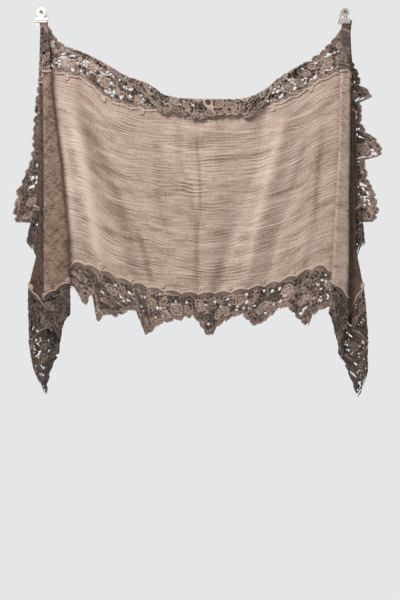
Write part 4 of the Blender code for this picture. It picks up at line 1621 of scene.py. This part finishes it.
@dataclass
class TailPieces:
    """One tail of the shawl: gauze in folds, and the lace on its three sides.

    Args:
        tail: which tail.
        gauze_finish: looks of the gauze.
        felt: looks of the lace and the cords.
        gauze_step: size of the gauze's mesh, across and down.
        lace_step: size of the lace's mesh.
        trim_step: length between two columns of a seam.
        overlap: how far the lace may reach over the gauze.
        gathered_thickness: of the lace gathered in the clip, against lace that hangs free.
        outer_width: of the lace on the outer edge.
    """

    tail: Tail
    gauze_finish: Material
    felt: Material
    gauze_step: tuple[float, float] = (3.8, 3.0)
    lace_step: float = 2.25
    trim_step: float = 3.0
    overlap: float = 9.0
    gathered_thickness: float = 0.62
    outer_width: float = 118.0

    @property
    def look(self) -> TailLook:
        """What sets this tail apart from the other."""
        return LOOKS[self.tail.name]

    def place(self, fold_number: Array, drop: Array) -> Array:
        """Place of this tail's points."""
        return DRAPE.tail_place(self.tail, fold_number, drop)

    def name(self, piece: str) -> str:
        """Name of one of this tail's pieces."""
        return f"{piece}_{self.tail.name}"

    def thin(self, drop: Array) -> Array:
        """Share of the lace's thickness: little in the clip, all of it lower down."""
        return 0.22 + 0.78 * smooth_step((drop - 16) / 110)

    def patch(self, columns: Array, start: Array, end: Array, length: float, step: float) -> Patch:
        """Grid between two lines of this tail, with as many rows as steps go into a length."""
        return Patch(self.place, columns, start, end, round(float(length) / step), self.tail.outward)

    def end_pattern(self, cell: float, seed: int) -> LacePattern:
        """Pattern of the tail's lower end, with deep notches between its knobs."""
        return LacePattern(Ground.MIXED, cell=cell, net_radius=1.2, shade=self.look.end_shade,
                           lobe_repeat=29.0, lobe_depth=15.0, seed=seed + self.tail.outward)

    def cut_area(self, columns: Array, start: Array, end: Array) -> float:
        """Flat area between two lines: half the difference of their squared drops, over the angle.

        Args:
            columns: fold numbers.
            start: drop of the upper line on each.
            end: drop of the lower line.

        Returns:
            Square metres.
        """
        angle = thread_angle(columns)
        sector = (end ** 2 - start ** 2) / 2
        return abs(float(np.sum((sector[1:] + sector[:-1]) / 2 * np.diff(angle)))) * MM ** 2

    def gauze(self, trims: list[Piece]) -> None:
        """Gauze of the tail, from the pleat root to the last under-fold.

        Args:
            trims: cords that lie on its seams.
        """
        columns = even_columns(self.place, 0.0, 6.88, 420, self.gauze_step[0])
        angle = thread_angle(columns)
        start = CUT.top_lace / np.sin(angle)
        end = np.minimum(CUT.tail_gauze / np.maximum(np.cos(angle), 1e-6), CUT.seam / np.sin(angle))
        patch = self.patch(columns, start, end, np.max(end - start), self.gauze_step[1])
        crinkles = Crinkles(length=8.0, height=0.6, sag=0.0, hatch=self.look.hatch,
                            seed=40 + self.tail.outward)
        # painted shade of each column, by its fold
        shade = np.interp(columns, PAINTED_SHADE_FOLDS, self.look.light)
        panel = GauzePanel(self.name("gauze_tail"), patch, (0.422, 0.565), "gathered",
                           (CUT.middle_length, CUT.top_lace), crinkles, shade, 8.0)
        panel.build(self.gauze_finish, False, trims)

    def bunched_lace(self) -> None:
        """Top lace of the tail, gathered in the clip in all its layers but the last."""
        columns = even_columns(self.place, 0.0, 7.0, 200, self.lace_step)
        seam = CUT.top_lace / np.sin(thread_angle(columns))
        start, end = np.ones(len(columns)), seam + self.overlap
        patch = self.patch(columns, start, end, 1.15 * np.mean(seam), self.lace_step)
        side = BorderSide(patch.across_mm(), seam - patch.along, FAR, 110.0)
        pattern = LacePattern(Ground.DENSE, shade=0.06, seed=51 + self.tail.outward)
        panel = LacePanel(self.name("lace_bunch"), patch, (0.471, 0.144), "gathered",
                          self.cut_area(columns, start, end), side, pattern,
                          self.gathered_thickness * self.thin(patch.along))
        panel.build(self.felt)

    def outer_lace(self) -> None:
        """The rest of the top lace, which hangs down as the tail's outer edge."""
        columns = even_columns(self.place, 7.0, 8.0, 480, self.lace_step)
        reach = CUT.tail_gauze + CUT.lace_width(np.zeros(len(columns))) + CUT.outer_run_on
        start, end = np.ones(len(columns)), reach / np.cos(thread_angle(columns))
        patch = self.patch(columns, start, end, np.mean(end), self.lace_step)
        across = patch.across_mm()
        to_side = across[:, -1:] - across
        side = BorderSide(patch.along, self.outer_width - to_side,
                          np.minimum(to_side, end - patch.along), self.outer_width)
        pattern = LacePattern(self.look.outer_ground, cell=9.4, repeat=70.0,
                              shade=self.look.outer_shade, seed=61 + self.tail.outward)
        panel = LacePanel(self.name("lace_outer"), patch, (0.546, 0.167), "gathered",
                          self.cut_area(columns, start, end), side, pattern, self.thin(patch.along))
        panel.build(self.felt)

    def end_lace(self) -> None:
        """Lace along the short end of the shawl, which hangs in folds behind the pleat."""
        columns = even_columns(self.place, 3.5, 7.0, 640, self.lace_step)
        angle = thread_angle(columns)
        seam = np.maximum(CUT.tail_gauze / np.cos(angle), CUT.top_lace / np.sin(angle))
        width = CUT.lace_width(CUT.tail_gauze * np.tan(angle))
        edge = (CUT.tail_gauze + width) / np.cos(angle)
        start, end = seam - self.overlap, np.minimum(edge, CUT.seam / np.sin(angle))
        patch = self.patch(columns, start, end, np.max(end - start), self.lace_step)
        side = BorderSide(patch.across_mm(), patch.along - seam, edge - patch.along, width)
        panel = LacePanel(self.name("lace_end"), patch, (0.565, 0.141), "gathered",
                          self.cut_area(columns, start, end), side, self.end_pattern(8.8, 71),
                          self.thin(patch.along))
        panel.build(self.felt)

    def hem_lace(self) -> None:
        """Hem lace of the tail, round the corner of the shawl in one lobe."""
        corner_angle, lobe_angle = 57.0, 3.5
        columns = even_columns(self.place, 0.0, 4 + DRAPE.turn, 800, self.lace_step)
        angle = thread_angle(columns)
        seam = CUT.seam / np.sin(angle)
        lobe = CUT.corner_lobe * np.exp(-((np.degrees(angle) - corner_angle) / lobe_angle) ** 2)
        width = CUT.lace_width(CUT.seam / np.tan(angle) + CUT.lace_repeat * 0.2) + lobe
        end_edge = (CUT.tail_gauze + CUT.lace_point + lobe) / np.maximum(np.cos(angle), 1e-6)
        start, end = seam - self.overlap, np.minimum((CUT.seam + width) / np.sin(angle), end_edge)
        patch = self.patch(columns, start, end, np.max(end - start), self.lace_step)
        side = BorderSide(patch.across_mm(), patch.along - seam, end - patch.along, width)
        shown = self.look.hem_shown
        panel = LacePanel(self.name("lace_hem"), patch, (shown, 0.183), "gathered", shown * 0.130,
                          side, self.end_pattern(8.4, 81), self.thin(patch.along))
        panel.build(self.felt)

    def trim(self) -> Piece:
        """Cords and curls along the tail's seams: top, end and hem."""
        top, end, hem = (
            even_columns(self.place, first, last, along, self.trim_step)
            for first, last, along in ((0.05, 6.8, 200), (3.6, 6.9, 600), (0.05, 3.3, 760)))
        angles = [thread_angle(columns) for columns in (top, end, hem)]
        front = self.tail.outward
        seams = [
            Seam(self.place, top, CUT.top_lace / np.sin(angles[0]), 1, front),
            Seam(self.place, end, CUT.tail_gauze / np.cos(angles[1]), -1, front),
            Seam(self.place, hem, CUT.seam / np.sin(angles[2]), -1, front)]
        # painted shade: the tail's trim is darker by half of its end lace's painted shade
        trim = Trim(seed=15, curl_size=6.5, tone=0.72 - self.look.end_shade / 2)
        return build_trim(self.name("trim"), seams, trim, self.felt)


# Clips and nails

def strip(x: Array, depth: Array, z: Array) -> tuple[Array, Array]:
    """Vertices and faces of a profile, one depth and height a row, carried across by x."""
    rows = np.broadcast_arrays(x, -depth[:, None], z[:, None])
    return np.stack(rows, axis=-1).reshape(-1, 3), grid_faces(*x.shape)


@dataclass
class BulldogClip:
    """Nickel bulldog clip: two stamped halves with round ears, and the spring between them.

    Args:
        tail: the tail whose cloth it holds.
        plating: looks of its steel.
        slant: how far in from its hole its middle lies.
        disc_radius: of its ears.
        hole_radius: of their holes.
        bar_width: of its ribbed bars.
        neck_width: of the necks between ear and bar.
        steel: thickness of its halves.
        spring_steel: thickness of its spring.
        grip: from the middle of a lip to the middle of the layer of cloth under it.
    """

    tail: Tail
    plating: Material
    slant: float = 1.6
    disc_radius: float = 13.2
    hole_radius: float = 4.2
    bar_width: float = 31.0
    neck_width: float = 15.0
    steel: float = 1.2
    spring_steel: float = 0.9
    grip: float = 1.475

    @property
    def middle_x(self) -> float:
        """The x of the clip's middle."""
        return self.tail.outward * (DRAPE.clip_x - self.slant)

    def ear(self, depth: float) -> tuple[Array, Array]:
        """Round ear with its hole: rings from the hole's rim out to the disc's, in one plane.

        Args:
            depth: distance from the wall.

        Returns:
            Vertices and faces.
        """
        sides, rings = 56, 5
        turn, share = ring_angles(sides), np.linspace(0, 1, rings)[:, None]
        hole_x = self.tail.outward * DRAPE.clip_x
        x = ((hole_x + self.hole_radius * np.cos(turn)) * (1 - share)
             + (self.middle_x + self.disc_radius * np.cos(turn)) * share)
        z = self.hole_radius * np.sin(turn) * (1 - share) + self.disc_radius * np.sin(turn) * share
        vertices = np.stack([x, np.full(x.shape, -depth), z], axis=-1).reshape(-1, 3)
        return vertices, grid_faces(rings, sides, closed=True)

    def bar(self, ear_depth: float, bar_depth: float, lip_depth: float,
            bulge: float) -> tuple[Array, Array]:
        """Neck and ribbed bar: a profile in depth carried across a width that steps out.

        The depth eases from the ear's to the bar's and then to the lip's, and each rib adds
        an arch. The columns lie at the sines of even angles, closer towards the sides.

        Args:
            ear_depth: distance of the ear from the wall.
            bar_depth: distance of the bar.
            lip_depth: distance of the lip.
            bulge: how far each rolled rib stands out.

        Returns:
            Vertices and faces.
        """
        rib_top, rib_end, rib_height = -18.4, -28.2, 4.9
        z = np.array([-11.2, -12.4, -14.0, -15.4, -16.4, -17.0, -17.6,
                      *np.linspace(rib_top, rib_end, 22), -28.9, -29.5, -30.0])
        ease = smooth_step((-12.4 - z) / 4.6)
        ribbed = (z < rib_top) & (z > rib_end)
        ribs = bulge * arches(math.pi * (z - rib_top) / rib_height, 1.4) * ribbed
        lip = smooth_step((-26.6 - z) / 3.4)
        eased = ear_depth + (bar_depth - ear_depth) * ease
        depth = eased * (1 - lip) + lip_depth * lip + ribs * (1 - lip)
        step_out = (self.bar_width - self.neck_width) / 2
        half = self.neck_width / 2 + step_out * smooth_step((-15.4 - z) / 2.2)
        share = np.sin(np.linspace(-math.pi / 2, math.pi / 2, 17))
        return strip(self.middle_x + half[:, None] * share[None, :], depth, z)

    def plate(self, name: str, ear_depth: float, bar_depth: float, lip_depth: float,
              bulge: float) -> None:
        """One stamped half: the ear and the bar, made as thick as the steel with eased edges.

        Args:
            name: the piece's name, and that of the node it stands for.
            ear_depth: distance of the ear from the wall.
            bar_depth: distance of the bar.
            lip_depth: distance of the lip.
            bulge: how far each rolled rib stands out.
        """
        ear, ear_faces = self.ear(ear_depth)
        bar, bar_faces = self.bar(ear_depth, bar_depth, lip_depth, bulge)
        points, faces = np.concatenate([ear, bar]), np.concatenate([ear_faces, bar_faces + len(ear)])
        piece = add_mesh(f"{name}_steel", points, faces, self.plating, {})
        thicken(piece, self.steel)
        rounding = piece.modifiers.new("eased edges", "BEVEL")
        rounding.width = 0.3 * MM
        rounding.segments = 2
        rounding.limit_method = "ANGLE"
        rounding.angle_limit = math.radians(75)
        hang(piece, Slot.NICKEL, name)

    def spring(self) -> None:
        """Bent strip that pushes the lips together: its profile is half an ellipse with feet."""
        front, back, columns = 24.6, 5.1, 7
        share = np.linspace(-1, 1, 41)
        depth = (front + back) / 2 + (front - back) / 2 * np.sin(share * math.pi / 2)
        z = -9.0 - 8.4 * np.abs(share) ** 2.6
        half = self.neck_width / 2 - 0.8
        across = self.middle_x + np.linspace(-half, half, columns)
        points, faces = strip(np.broadcast_to(across, (len(share), columns)), depth, z)
        name = f"clip_spring_{self.tail.name}"
        piece = add_mesh(f"{name}_steel", points, faces, self.plating, {})
        thicken(piece, self.spring_steel)
        hang(piece, Slot.NICKEL, name)

    def build(self) -> None:
        """Both halves and the spring."""
        front_lip, back_lip = LAYERS[1].pinched + self.grip, LAYERS[-1].pinched - self.grip
        self.plate(f"clip_front_{self.tail.name}", 21.0, 26.1, front_lip, 1.6)
        self.plate(f"clip_back_{self.tail.name}", 0.6, 3.6, back_lip, -1.2)
        self.spring()


@dataclass
class Nail:
    """Round nail with a flat head, out of the wall through the clip's ears.

    Args:
        tail: the tail whose clip hangs on it.
        iron: looks of its steel.
        rise: how far its axis lies above the middle of the clip's hole.
        radius: of its shank.
        head_radius: of its head.
        reach: how far it stands out of the wall.
    """

    tail: Tail
    iron: Material
    rise: float = 2.2
    radius: float = 1.7
    head_radius: float = 3.9
    reach: float = 26.0

    def build(self) -> None:
        """Turn the nail's profile round its axis, closed at both ends on the axis."""
        shank, head, end, sides = self.radius, self.head_radius, self.reach, 28
        profile = np.array([
            (0.0, shank), (end - 1.9, shank), (end - 1.5, shank + 0.3), (end - 1.5, head - 0.2),
            (end - 1.3, head), (end - 0.6, head), (end - 0.2, head - 0.5), (end, head * 0.5)])
        turn, x = ring_angles(sides), self.tail.outward * DRAPE.clip_x
        rings = np.broadcast_arrays(x + profile[:, 1:] * np.cos(turn), -profile[:, :1],
                                    self.rise + profile[:, 1:] * np.sin(turn))
        ends = [(x, 0.0, self.rise), (x, -end, self.rise)]
        points = np.concatenate([np.stack(rings, axis=-1).reshape(-1, 3), ends])
        faces = grid_faces(len(profile), sides, closed=True)[:, [0, 3, 2, 1]]
        name = f"nail_{self.tail.name}"
        piece = add_mesh(f"{name}_steel", points, faces, self.iron, {},
                         triangles=end_caps(len(profile), sides))
        hang(piece, Slot.NAIL, name)


# Finishes

class Graph:
    """A material's nodes, with short ways to add and join them."""

    def __init__(self, name: str) -> None:
        """Start a material with its shader.

        Args:
            name: the material's name.
        """
        self.material = bpy.data.materials.new(name)
        self.material.use_nodes = True
        self.tree = self.material.node_tree
        self.shader = self.tree.nodes["Principled BSDF"]

    def add(self, kind: str, links: dict[str, Socket] | None = None,
            **values: object) -> bpy.types.Node:
        """Add a node, set its values and link its inputs.

        Args:
            kind: Blender's node type.
            links: output sockets by the name of the input they go to.
            values: constants by input name, with _ for a blank, or a node's own setting.

        Returns:
            The node.
        """
        node = self.tree.nodes.new(kind)
        for key, value in values.items():
            if hasattr(node, key):
                setattr(node, key, value)
            else:
                node.inputs[key.replace("_", " ")].default_value = value
        for key, socket in (links or {}).items():
            self.tree.links.new(socket, node.inputs[key])
        return node

    def stretched_noise(self, coordinates: Socket, scale: Triple,
                        detail: float) -> Socket:
        """Noise whose grain is stretched by a scale along each axis.

        Args:
            coordinates: where the noise is read.
            scale: grains a metre along each axis.
            detail: how many finer layers it has.

        Returns:
            The noise's value socket.
        """
        mapping = self.add("ShaderNodeMapping", {"Vector": coordinates}, Scale=scale)
        noise = self.add("ShaderNodeTexNoise", {"Vector": mapping.outputs["Vector"]},
                         Scale=1.0, Detail=detail)
        return noise.outputs["Fac"]

    def blend(self, mode: str, amount: float, first: Socket,
              second: Socket) -> Socket:
        """Blend two values or colours.

        Args:
            mode: Blender's blend type.
            amount: share of the second.
            first: the lower one.
            second: the upper one.

        Returns:
            The blended colour socket.
        """
        mix = self.add("ShaderNodeMix", {"A": first, "B": second}, data_type="RGBA",
                       blend_type=mode, Factor=amount)
        return mix.outputs["Result"]

    def ramp(self, value: Socket, stops: tuple[tuple[float, Triple], ...]
             ) -> Socket:
        """Colour ramp through stops.

        Args:
            value: socket that picks the place on the ramp.
            stops: places and colours, first to last.

        Returns:
            The colour socket.
        """
        ramp = self.add("ShaderNodeValToRGB", {"Fac": value})
        ramp.color_ramp.elements[0].position = stops[0][0]
        ramp.color_ramp.elements[0].color = (*stops[0][1], 1.0)
        ramp.color_ramp.elements[1].position = stops[-1][0]
        ramp.color_ramp.elements[1].color = (*stops[-1][1], 1.0)
        for place, color in stops[1:-1]:
            ramp.color_ramp.elements.new(place).color = (*color, 1.0)
        return ramp.outputs["Color"]

    def bump(self, height: Socket, strength: float, distance: float,
             normal: Socket | None = None) -> Socket:
        """Bump from a height.

        Args:
            height: socket of the height.
            strength: of the bump.
            distance: its real height in metres.
            normal: an earlier bump to add to.

        Returns:
            The normal socket.
        """
        links = {"Height": height} if normal is None else {"Height": height, "Normal": normal}
        node = self.add("ShaderNodeBump", links, Strength=strength, Distance=distance)
        return node.outputs["Normal"]

    def finish(self, color: Socket | Triple,
               normal: Socket | None, **constants: float) -> Material:
        """Join colour and normal to the shader and set its constants.

        Args:
            color: socket or constant of the base colour.
            normal: the bump's socket, if there is one.
            constants: shader inputs by name, with _ for a blank.

        Returns:
            The material.
        """
        if isinstance(color, tuple):
            self.shader.inputs["Base Color"].default_value = (*color, 1.0)
        else:
            self.tree.links.new(color, self.shader.inputs["Base Color"])
        if normal is not None:
            self.tree.links.new(normal, self.shader.inputs["Normal"])
        for key, value in constants.items():
            self.shader.inputs[key.replace("_", " ")].default_value = value
        return self.material


@dataclass(frozen=True)
class GauzeFinish:
    """Loosely woven gauze: slubs both ways, with painted shade in the troughs of its crinkles and
    creases and on its shaded folds.
    """

    dark: Triple = (0.205, 0.143, 0.108)
    middle: Triple = (0.390, 0.290, 0.233)
    light: Triple = (0.530, 0.414, 0.343)
    # painted shade: colours that the shade mark multiplies the gauze by, in deep and in half shadow
    deep_shade: Triple = (0.10, 0.085, 0.075)
    half_shade: Triple = (0.48, 0.42, 0.38)

    def material(self) -> Material:
        """Slubs, patches and puckers mixed with the crinkle mark of painted shade, through a ramp,
        then darkened by the painted shade of the shade mark.
        """
        graph = Graph("crinkled_gauze")
        coordinates = graph.add("ShaderNodeTexCoord").outputs["UV"]
        long_slubs = graph.stretched_noise(coordinates, (34.0, 300.0, 1.0), 3.0)
        cross_slubs = graph.stretched_noise(coordinates, (280.0, 40.0, 1.0), 3.0)
        patches = graph.stretched_noise(coordinates, (16.0, 26.0, 1.0), 2.0)
        puckers = graph.stretched_noise(coordinates, (22.0, 150.0, 1.0), 3.0)
        crinkle = graph.add("ShaderNodeAttribute", attribute_name="crinkle").outputs["Fac"]
        mottle = graph.stretched_noise(coordinates, (180.0, 180.0, 1.0), 2.0)
        slubs = graph.blend("MIX", 0.5, long_slubs, cross_slubs)
        slubs = graph.blend("MIX", 0.3, slubs, mottle)
        value = graph.blend("MIX", 0.26, slubs, patches)
        # painted shade and light: the puckers' noise also darkens and lightens the colour, as their
        # shading
        value = graph.blend("MIX", 0.24, value, puckers)
        # painted shade and light: darker in the troughs of crinkles and creases, lighter on their
        # ridges
        value = graph.blend("MIX", 0.36, value, crinkle)
        color = graph.ramp(value, ((0.395, self.dark), (0.5, self.middle), (0.605, self.light)))
        # painted shade: shaded folds are darkened by multiplying the colour
        shade = graph.add("ShaderNodeAttribute", attribute_name="shade").outputs["Fac"]
        unshaded = (1.0, (1.0, 1.0, 1.0))
        painted_shade_tint = graph.ramp(shade, ((0.0, self.deep_shade), (0.5, self.half_shade), unshaded))
        color = graph.blend("MULTIPLY", 1.0, color, painted_shade_tint)
        threads = graph.stretched_noise(coordinates, (260.0, 900.0, 1.0), 2.0)
        normal = graph.bump(puckers, 0.7, 0.005)
        normal = graph.bump(slubs, 0.35, 0.0012, normal)
        normal = graph.bump(threads, 0.2, 0.0006, normal)
        return graph.finish(color, normal, Roughness=0.92, Sheen_Weight=0.18, Sheen_Roughness=0.5,
                            Specular_IOR_Level=0.2)


@dataclass(frozen=True)
class FeltFinish:
    """Felted wool, pinkish brown, with painted shade dark between the cords and painted light on the
    thickest ones.
    """

    dark: Triple = (0.030, 0.019, 0.014)
    middle: Triple = (0.110, 0.072, 0.054)
    light: Triple = (0.290, 0.204, 0.161)
    pale: Triple = (0.600, 0.460, 0.382)

    def material(self) -> Material:
        """The piece's tone mark, part own tone and part painted shade, and its height mark as painted
        shade and light, broken up by fine and coarse wool noise.
        """
        graph = Graph("felted_lace")
        coordinates = graph.add("ShaderNodeTexCoord").outputs["Object"]
        fibres = graph.stretched_noise(coordinates, (650.0, 650.0, 650.0), 4.0)
        clouds = graph.stretched_noise(coordinates, (75.0, 75.0, 75.0), 3.0)
        tone = graph.add("ShaderNodeAttribute", attribute_name="tone").outputs["Fac"]
        height = graph.add("ShaderNodeAttribute", attribute_name="height").outputs["Fac"]
        # painted shade and light: low felt darker, high cords lighter
        value = graph.blend("MIX", 0.3, tone, height)
        value = graph.blend("MIX", 0.15, value, clouds)
        value = graph.blend("MIX", 0.15, value, fibres)
        color = graph.ramp(value, ((0.22, self.dark), (0.40, self.middle),
                                   (0.56, self.light), (0.78, self.pale)))
        normal = graph.bump(height, 0.8, 0.002)
        normal = graph.bump(fibres, 0.6, 0.001, normal)
        return graph.finish(color, normal, Roughness=0.96, Sheen_Weight=0.25, Sheen_Roughness=0.6,
                            Specular_IOR_Level=0.15)


@dataclass(frozen=True)
class MetalFinish:
    """Plated or bare steel, with fine scuffs.

    Args:
        name: the material's name.
        color: of the metal.
        roughness: where it is bright.
        scuffed: roughness of its scuffs.
    """

    name: str
    color: Triple
    roughness: float
    scuffed: float

    def material(self) -> Material:
        """Roughness between its two values by a fine scuff noise."""
        graph = Graph(self.name)
        coordinates = graph.add("ShaderNodeTexCoord").outputs["Object"]
        scuffs = graph.stretched_noise(coordinates, (300.0, 300.0, 900.0), 4.0)
        rough = graph.add("ShaderNodeMapRange", {"Value": scuffs}, From_Min=0.35, From_Max=0.7,
                          To_Min=self.roughness, To_Max=self.scuffed)
        graph.tree.links.new(rough.outputs["Result"], graph.shader.inputs["Roughness"])
        return graph.finish(self.color, graph.bump(scuffs, 0.1, 0.0002), Metallic=1.0)


# Studio

@dataclass
class Studio:
    """Pale floor, soft lights and the camera, straight on as in the photograph.

    Args:
        camera_x: the camera's place across, in metres.
        camera_z: its height.
        frame_height: height of what it sees at the wall.
        lens: its focal length in millimetres.
        sensor: height of its sensor in millimetres, which the longer side of the picture takes.
        floor_z: height of the floor.
        floor_radius: of the floor, in millimetres.
        lit: the place that the lights face.
    """

    camera_x: float = 0.0189
    camera_z: float = -0.772
    frame_height: float = 1.620
    lens: float = 85.0
    sensor: float = 36.0
    floor_z: float = -2.6
    floor_radius: float = 4500.0
    lit: Triple = (0.0, -0.05, -0.45)

    def camera(self) -> None:
        """Camera at the distance where its frame is frame_height tall at the wall."""
        data = bpy.data.cameras.new("camera")
        data.lens = self.lens
        data.sensor_width = self.sensor
        data.clip_end = 60.0
        camera = bpy.data.objects.new("camera", data)
        camera.location = (self.camera_x, -self.frame_height * self.lens / self.sensor, self.camera_z)
        camera.rotation_euler = (math.pi / 2, 0, 0)
        bpy.context.collection.objects.link(camera)
        bpy.context.scene.camera = camera

    def light(self, name: str, place: Triple, size: float,
              power: float) -> None:
        """Square area light that faces the middle of the shawl.

        Args:
            name: of the light.
            place: where it stands, in metres.
            size: of its side.
            power: in watts.
        """
        data = bpy.data.lights.new(name, "AREA")
        data.size = size
        data.energy = power
        light = bpy.data.objects.new(name, data)
        light.location = place
        aim = Vector(self.lit) - Vector(place)
        light.rotation_euler = aim.to_track_quat("-Z", "Y").to_euler()
        bpy.context.collection.objects.link(light)

    def floor(self) -> None:
        """Plain pale round floor, below what the camera sees."""
        graph = Graph("floor")
        material = graph.finish((0.78, 0.78, 0.77), None, Roughness=0.9)
        turn = ring_angles(96)
        x, y = self.floor_radius * np.cos(turn), self.floor_radius * np.sin(turn)
        rim = np.stack([x, y, np.full(len(turn), self.floor_z / MM)], axis=1)
        floor = add_mesh("floor", rim, np.arange(len(turn))[None], material, {})

    def world(self, front: float, behind: float) -> None:
        """Pale surroundings, brighter behind the shawl than in front of it.

        Args:
            front: strength where the camera stands.
            behind: strength behind the shawl.
        """
        world = bpy.data.worlds.new("studio")
        world.use_nodes = True
        tree = world.node_tree
        direction = tree.nodes.new("ShaderNodeTexCoord")
        parts = tree.nodes.new("ShaderNodeSeparateXYZ")
        strength = tree.nodes.new("ShaderNodeMapRange")
        strength.interpolation_type = "SMOOTHSTEP"
        limits = {"From Min": -0.2, "From Max": 0.8, "To Min": front, "To Max": behind}
        for name, value in limits.items():
            strength.inputs[name].default_value = value
        background = tree.nodes["Background"]
        background.inputs["Color"].default_value = (0.985, 0.99, 1.0, 1.0)
        tree.links.new(direction.outputs["Generated"], parts.inputs["Vector"])
        tree.links.new(parts.outputs["Y"], strength.inputs["Value"])
        tree.links.new(strength.outputs["Result"], background.inputs["Strength"])
        bpy.context.scene.world = world

    def build(self) -> None:
        """Camera, lights, floor and surroundings."""
        self.camera()
        self.floor()
        self.world(0.27, 0.80)
        self.light("key", (-1.5, -2.1, 2.0), 1.3, 175.0)
        self.light("low fill", (1.4, -2.8, -1.0), 1.8, 12.0)
        bpy.context.scene.view_settings.view_transform = "Standard"


def main() -> None:
    """Build the studio, the shawl, the clips and the nails."""
    logging.basicConfig(level=logging.INFO, format="%(name)s %(message)s")
    Studio().build()
    gauze, felt = GauzeFinish().material(), FeltFinish().material()
    nickel = MetalFinish("nickel_plate", (0.70, 0.65, 0.60), 0.38, 0.54).material()
    iron = MetalFinish("nail_steel", (0.16, 0.15, 0.14), 0.4, 0.6).material()
    middle = Middle(gauze, felt)
    middle.gauze(middle.trim())
    middle.top_lace()
    middle.hem_lace()
    for tail in TAILS:
        pieces = TailPieces(tail, gauze, felt)
        pieces.gauze([pieces.trim()])
        pieces.bunched_lace()
        pieces.outer_lace()
        pieces.end_lace()
        pieces.hem_lace()
        BulldogClip(tail, nickel).build()
        Nail(tail, iron).build()


if __name__ == "__main__":
    main()
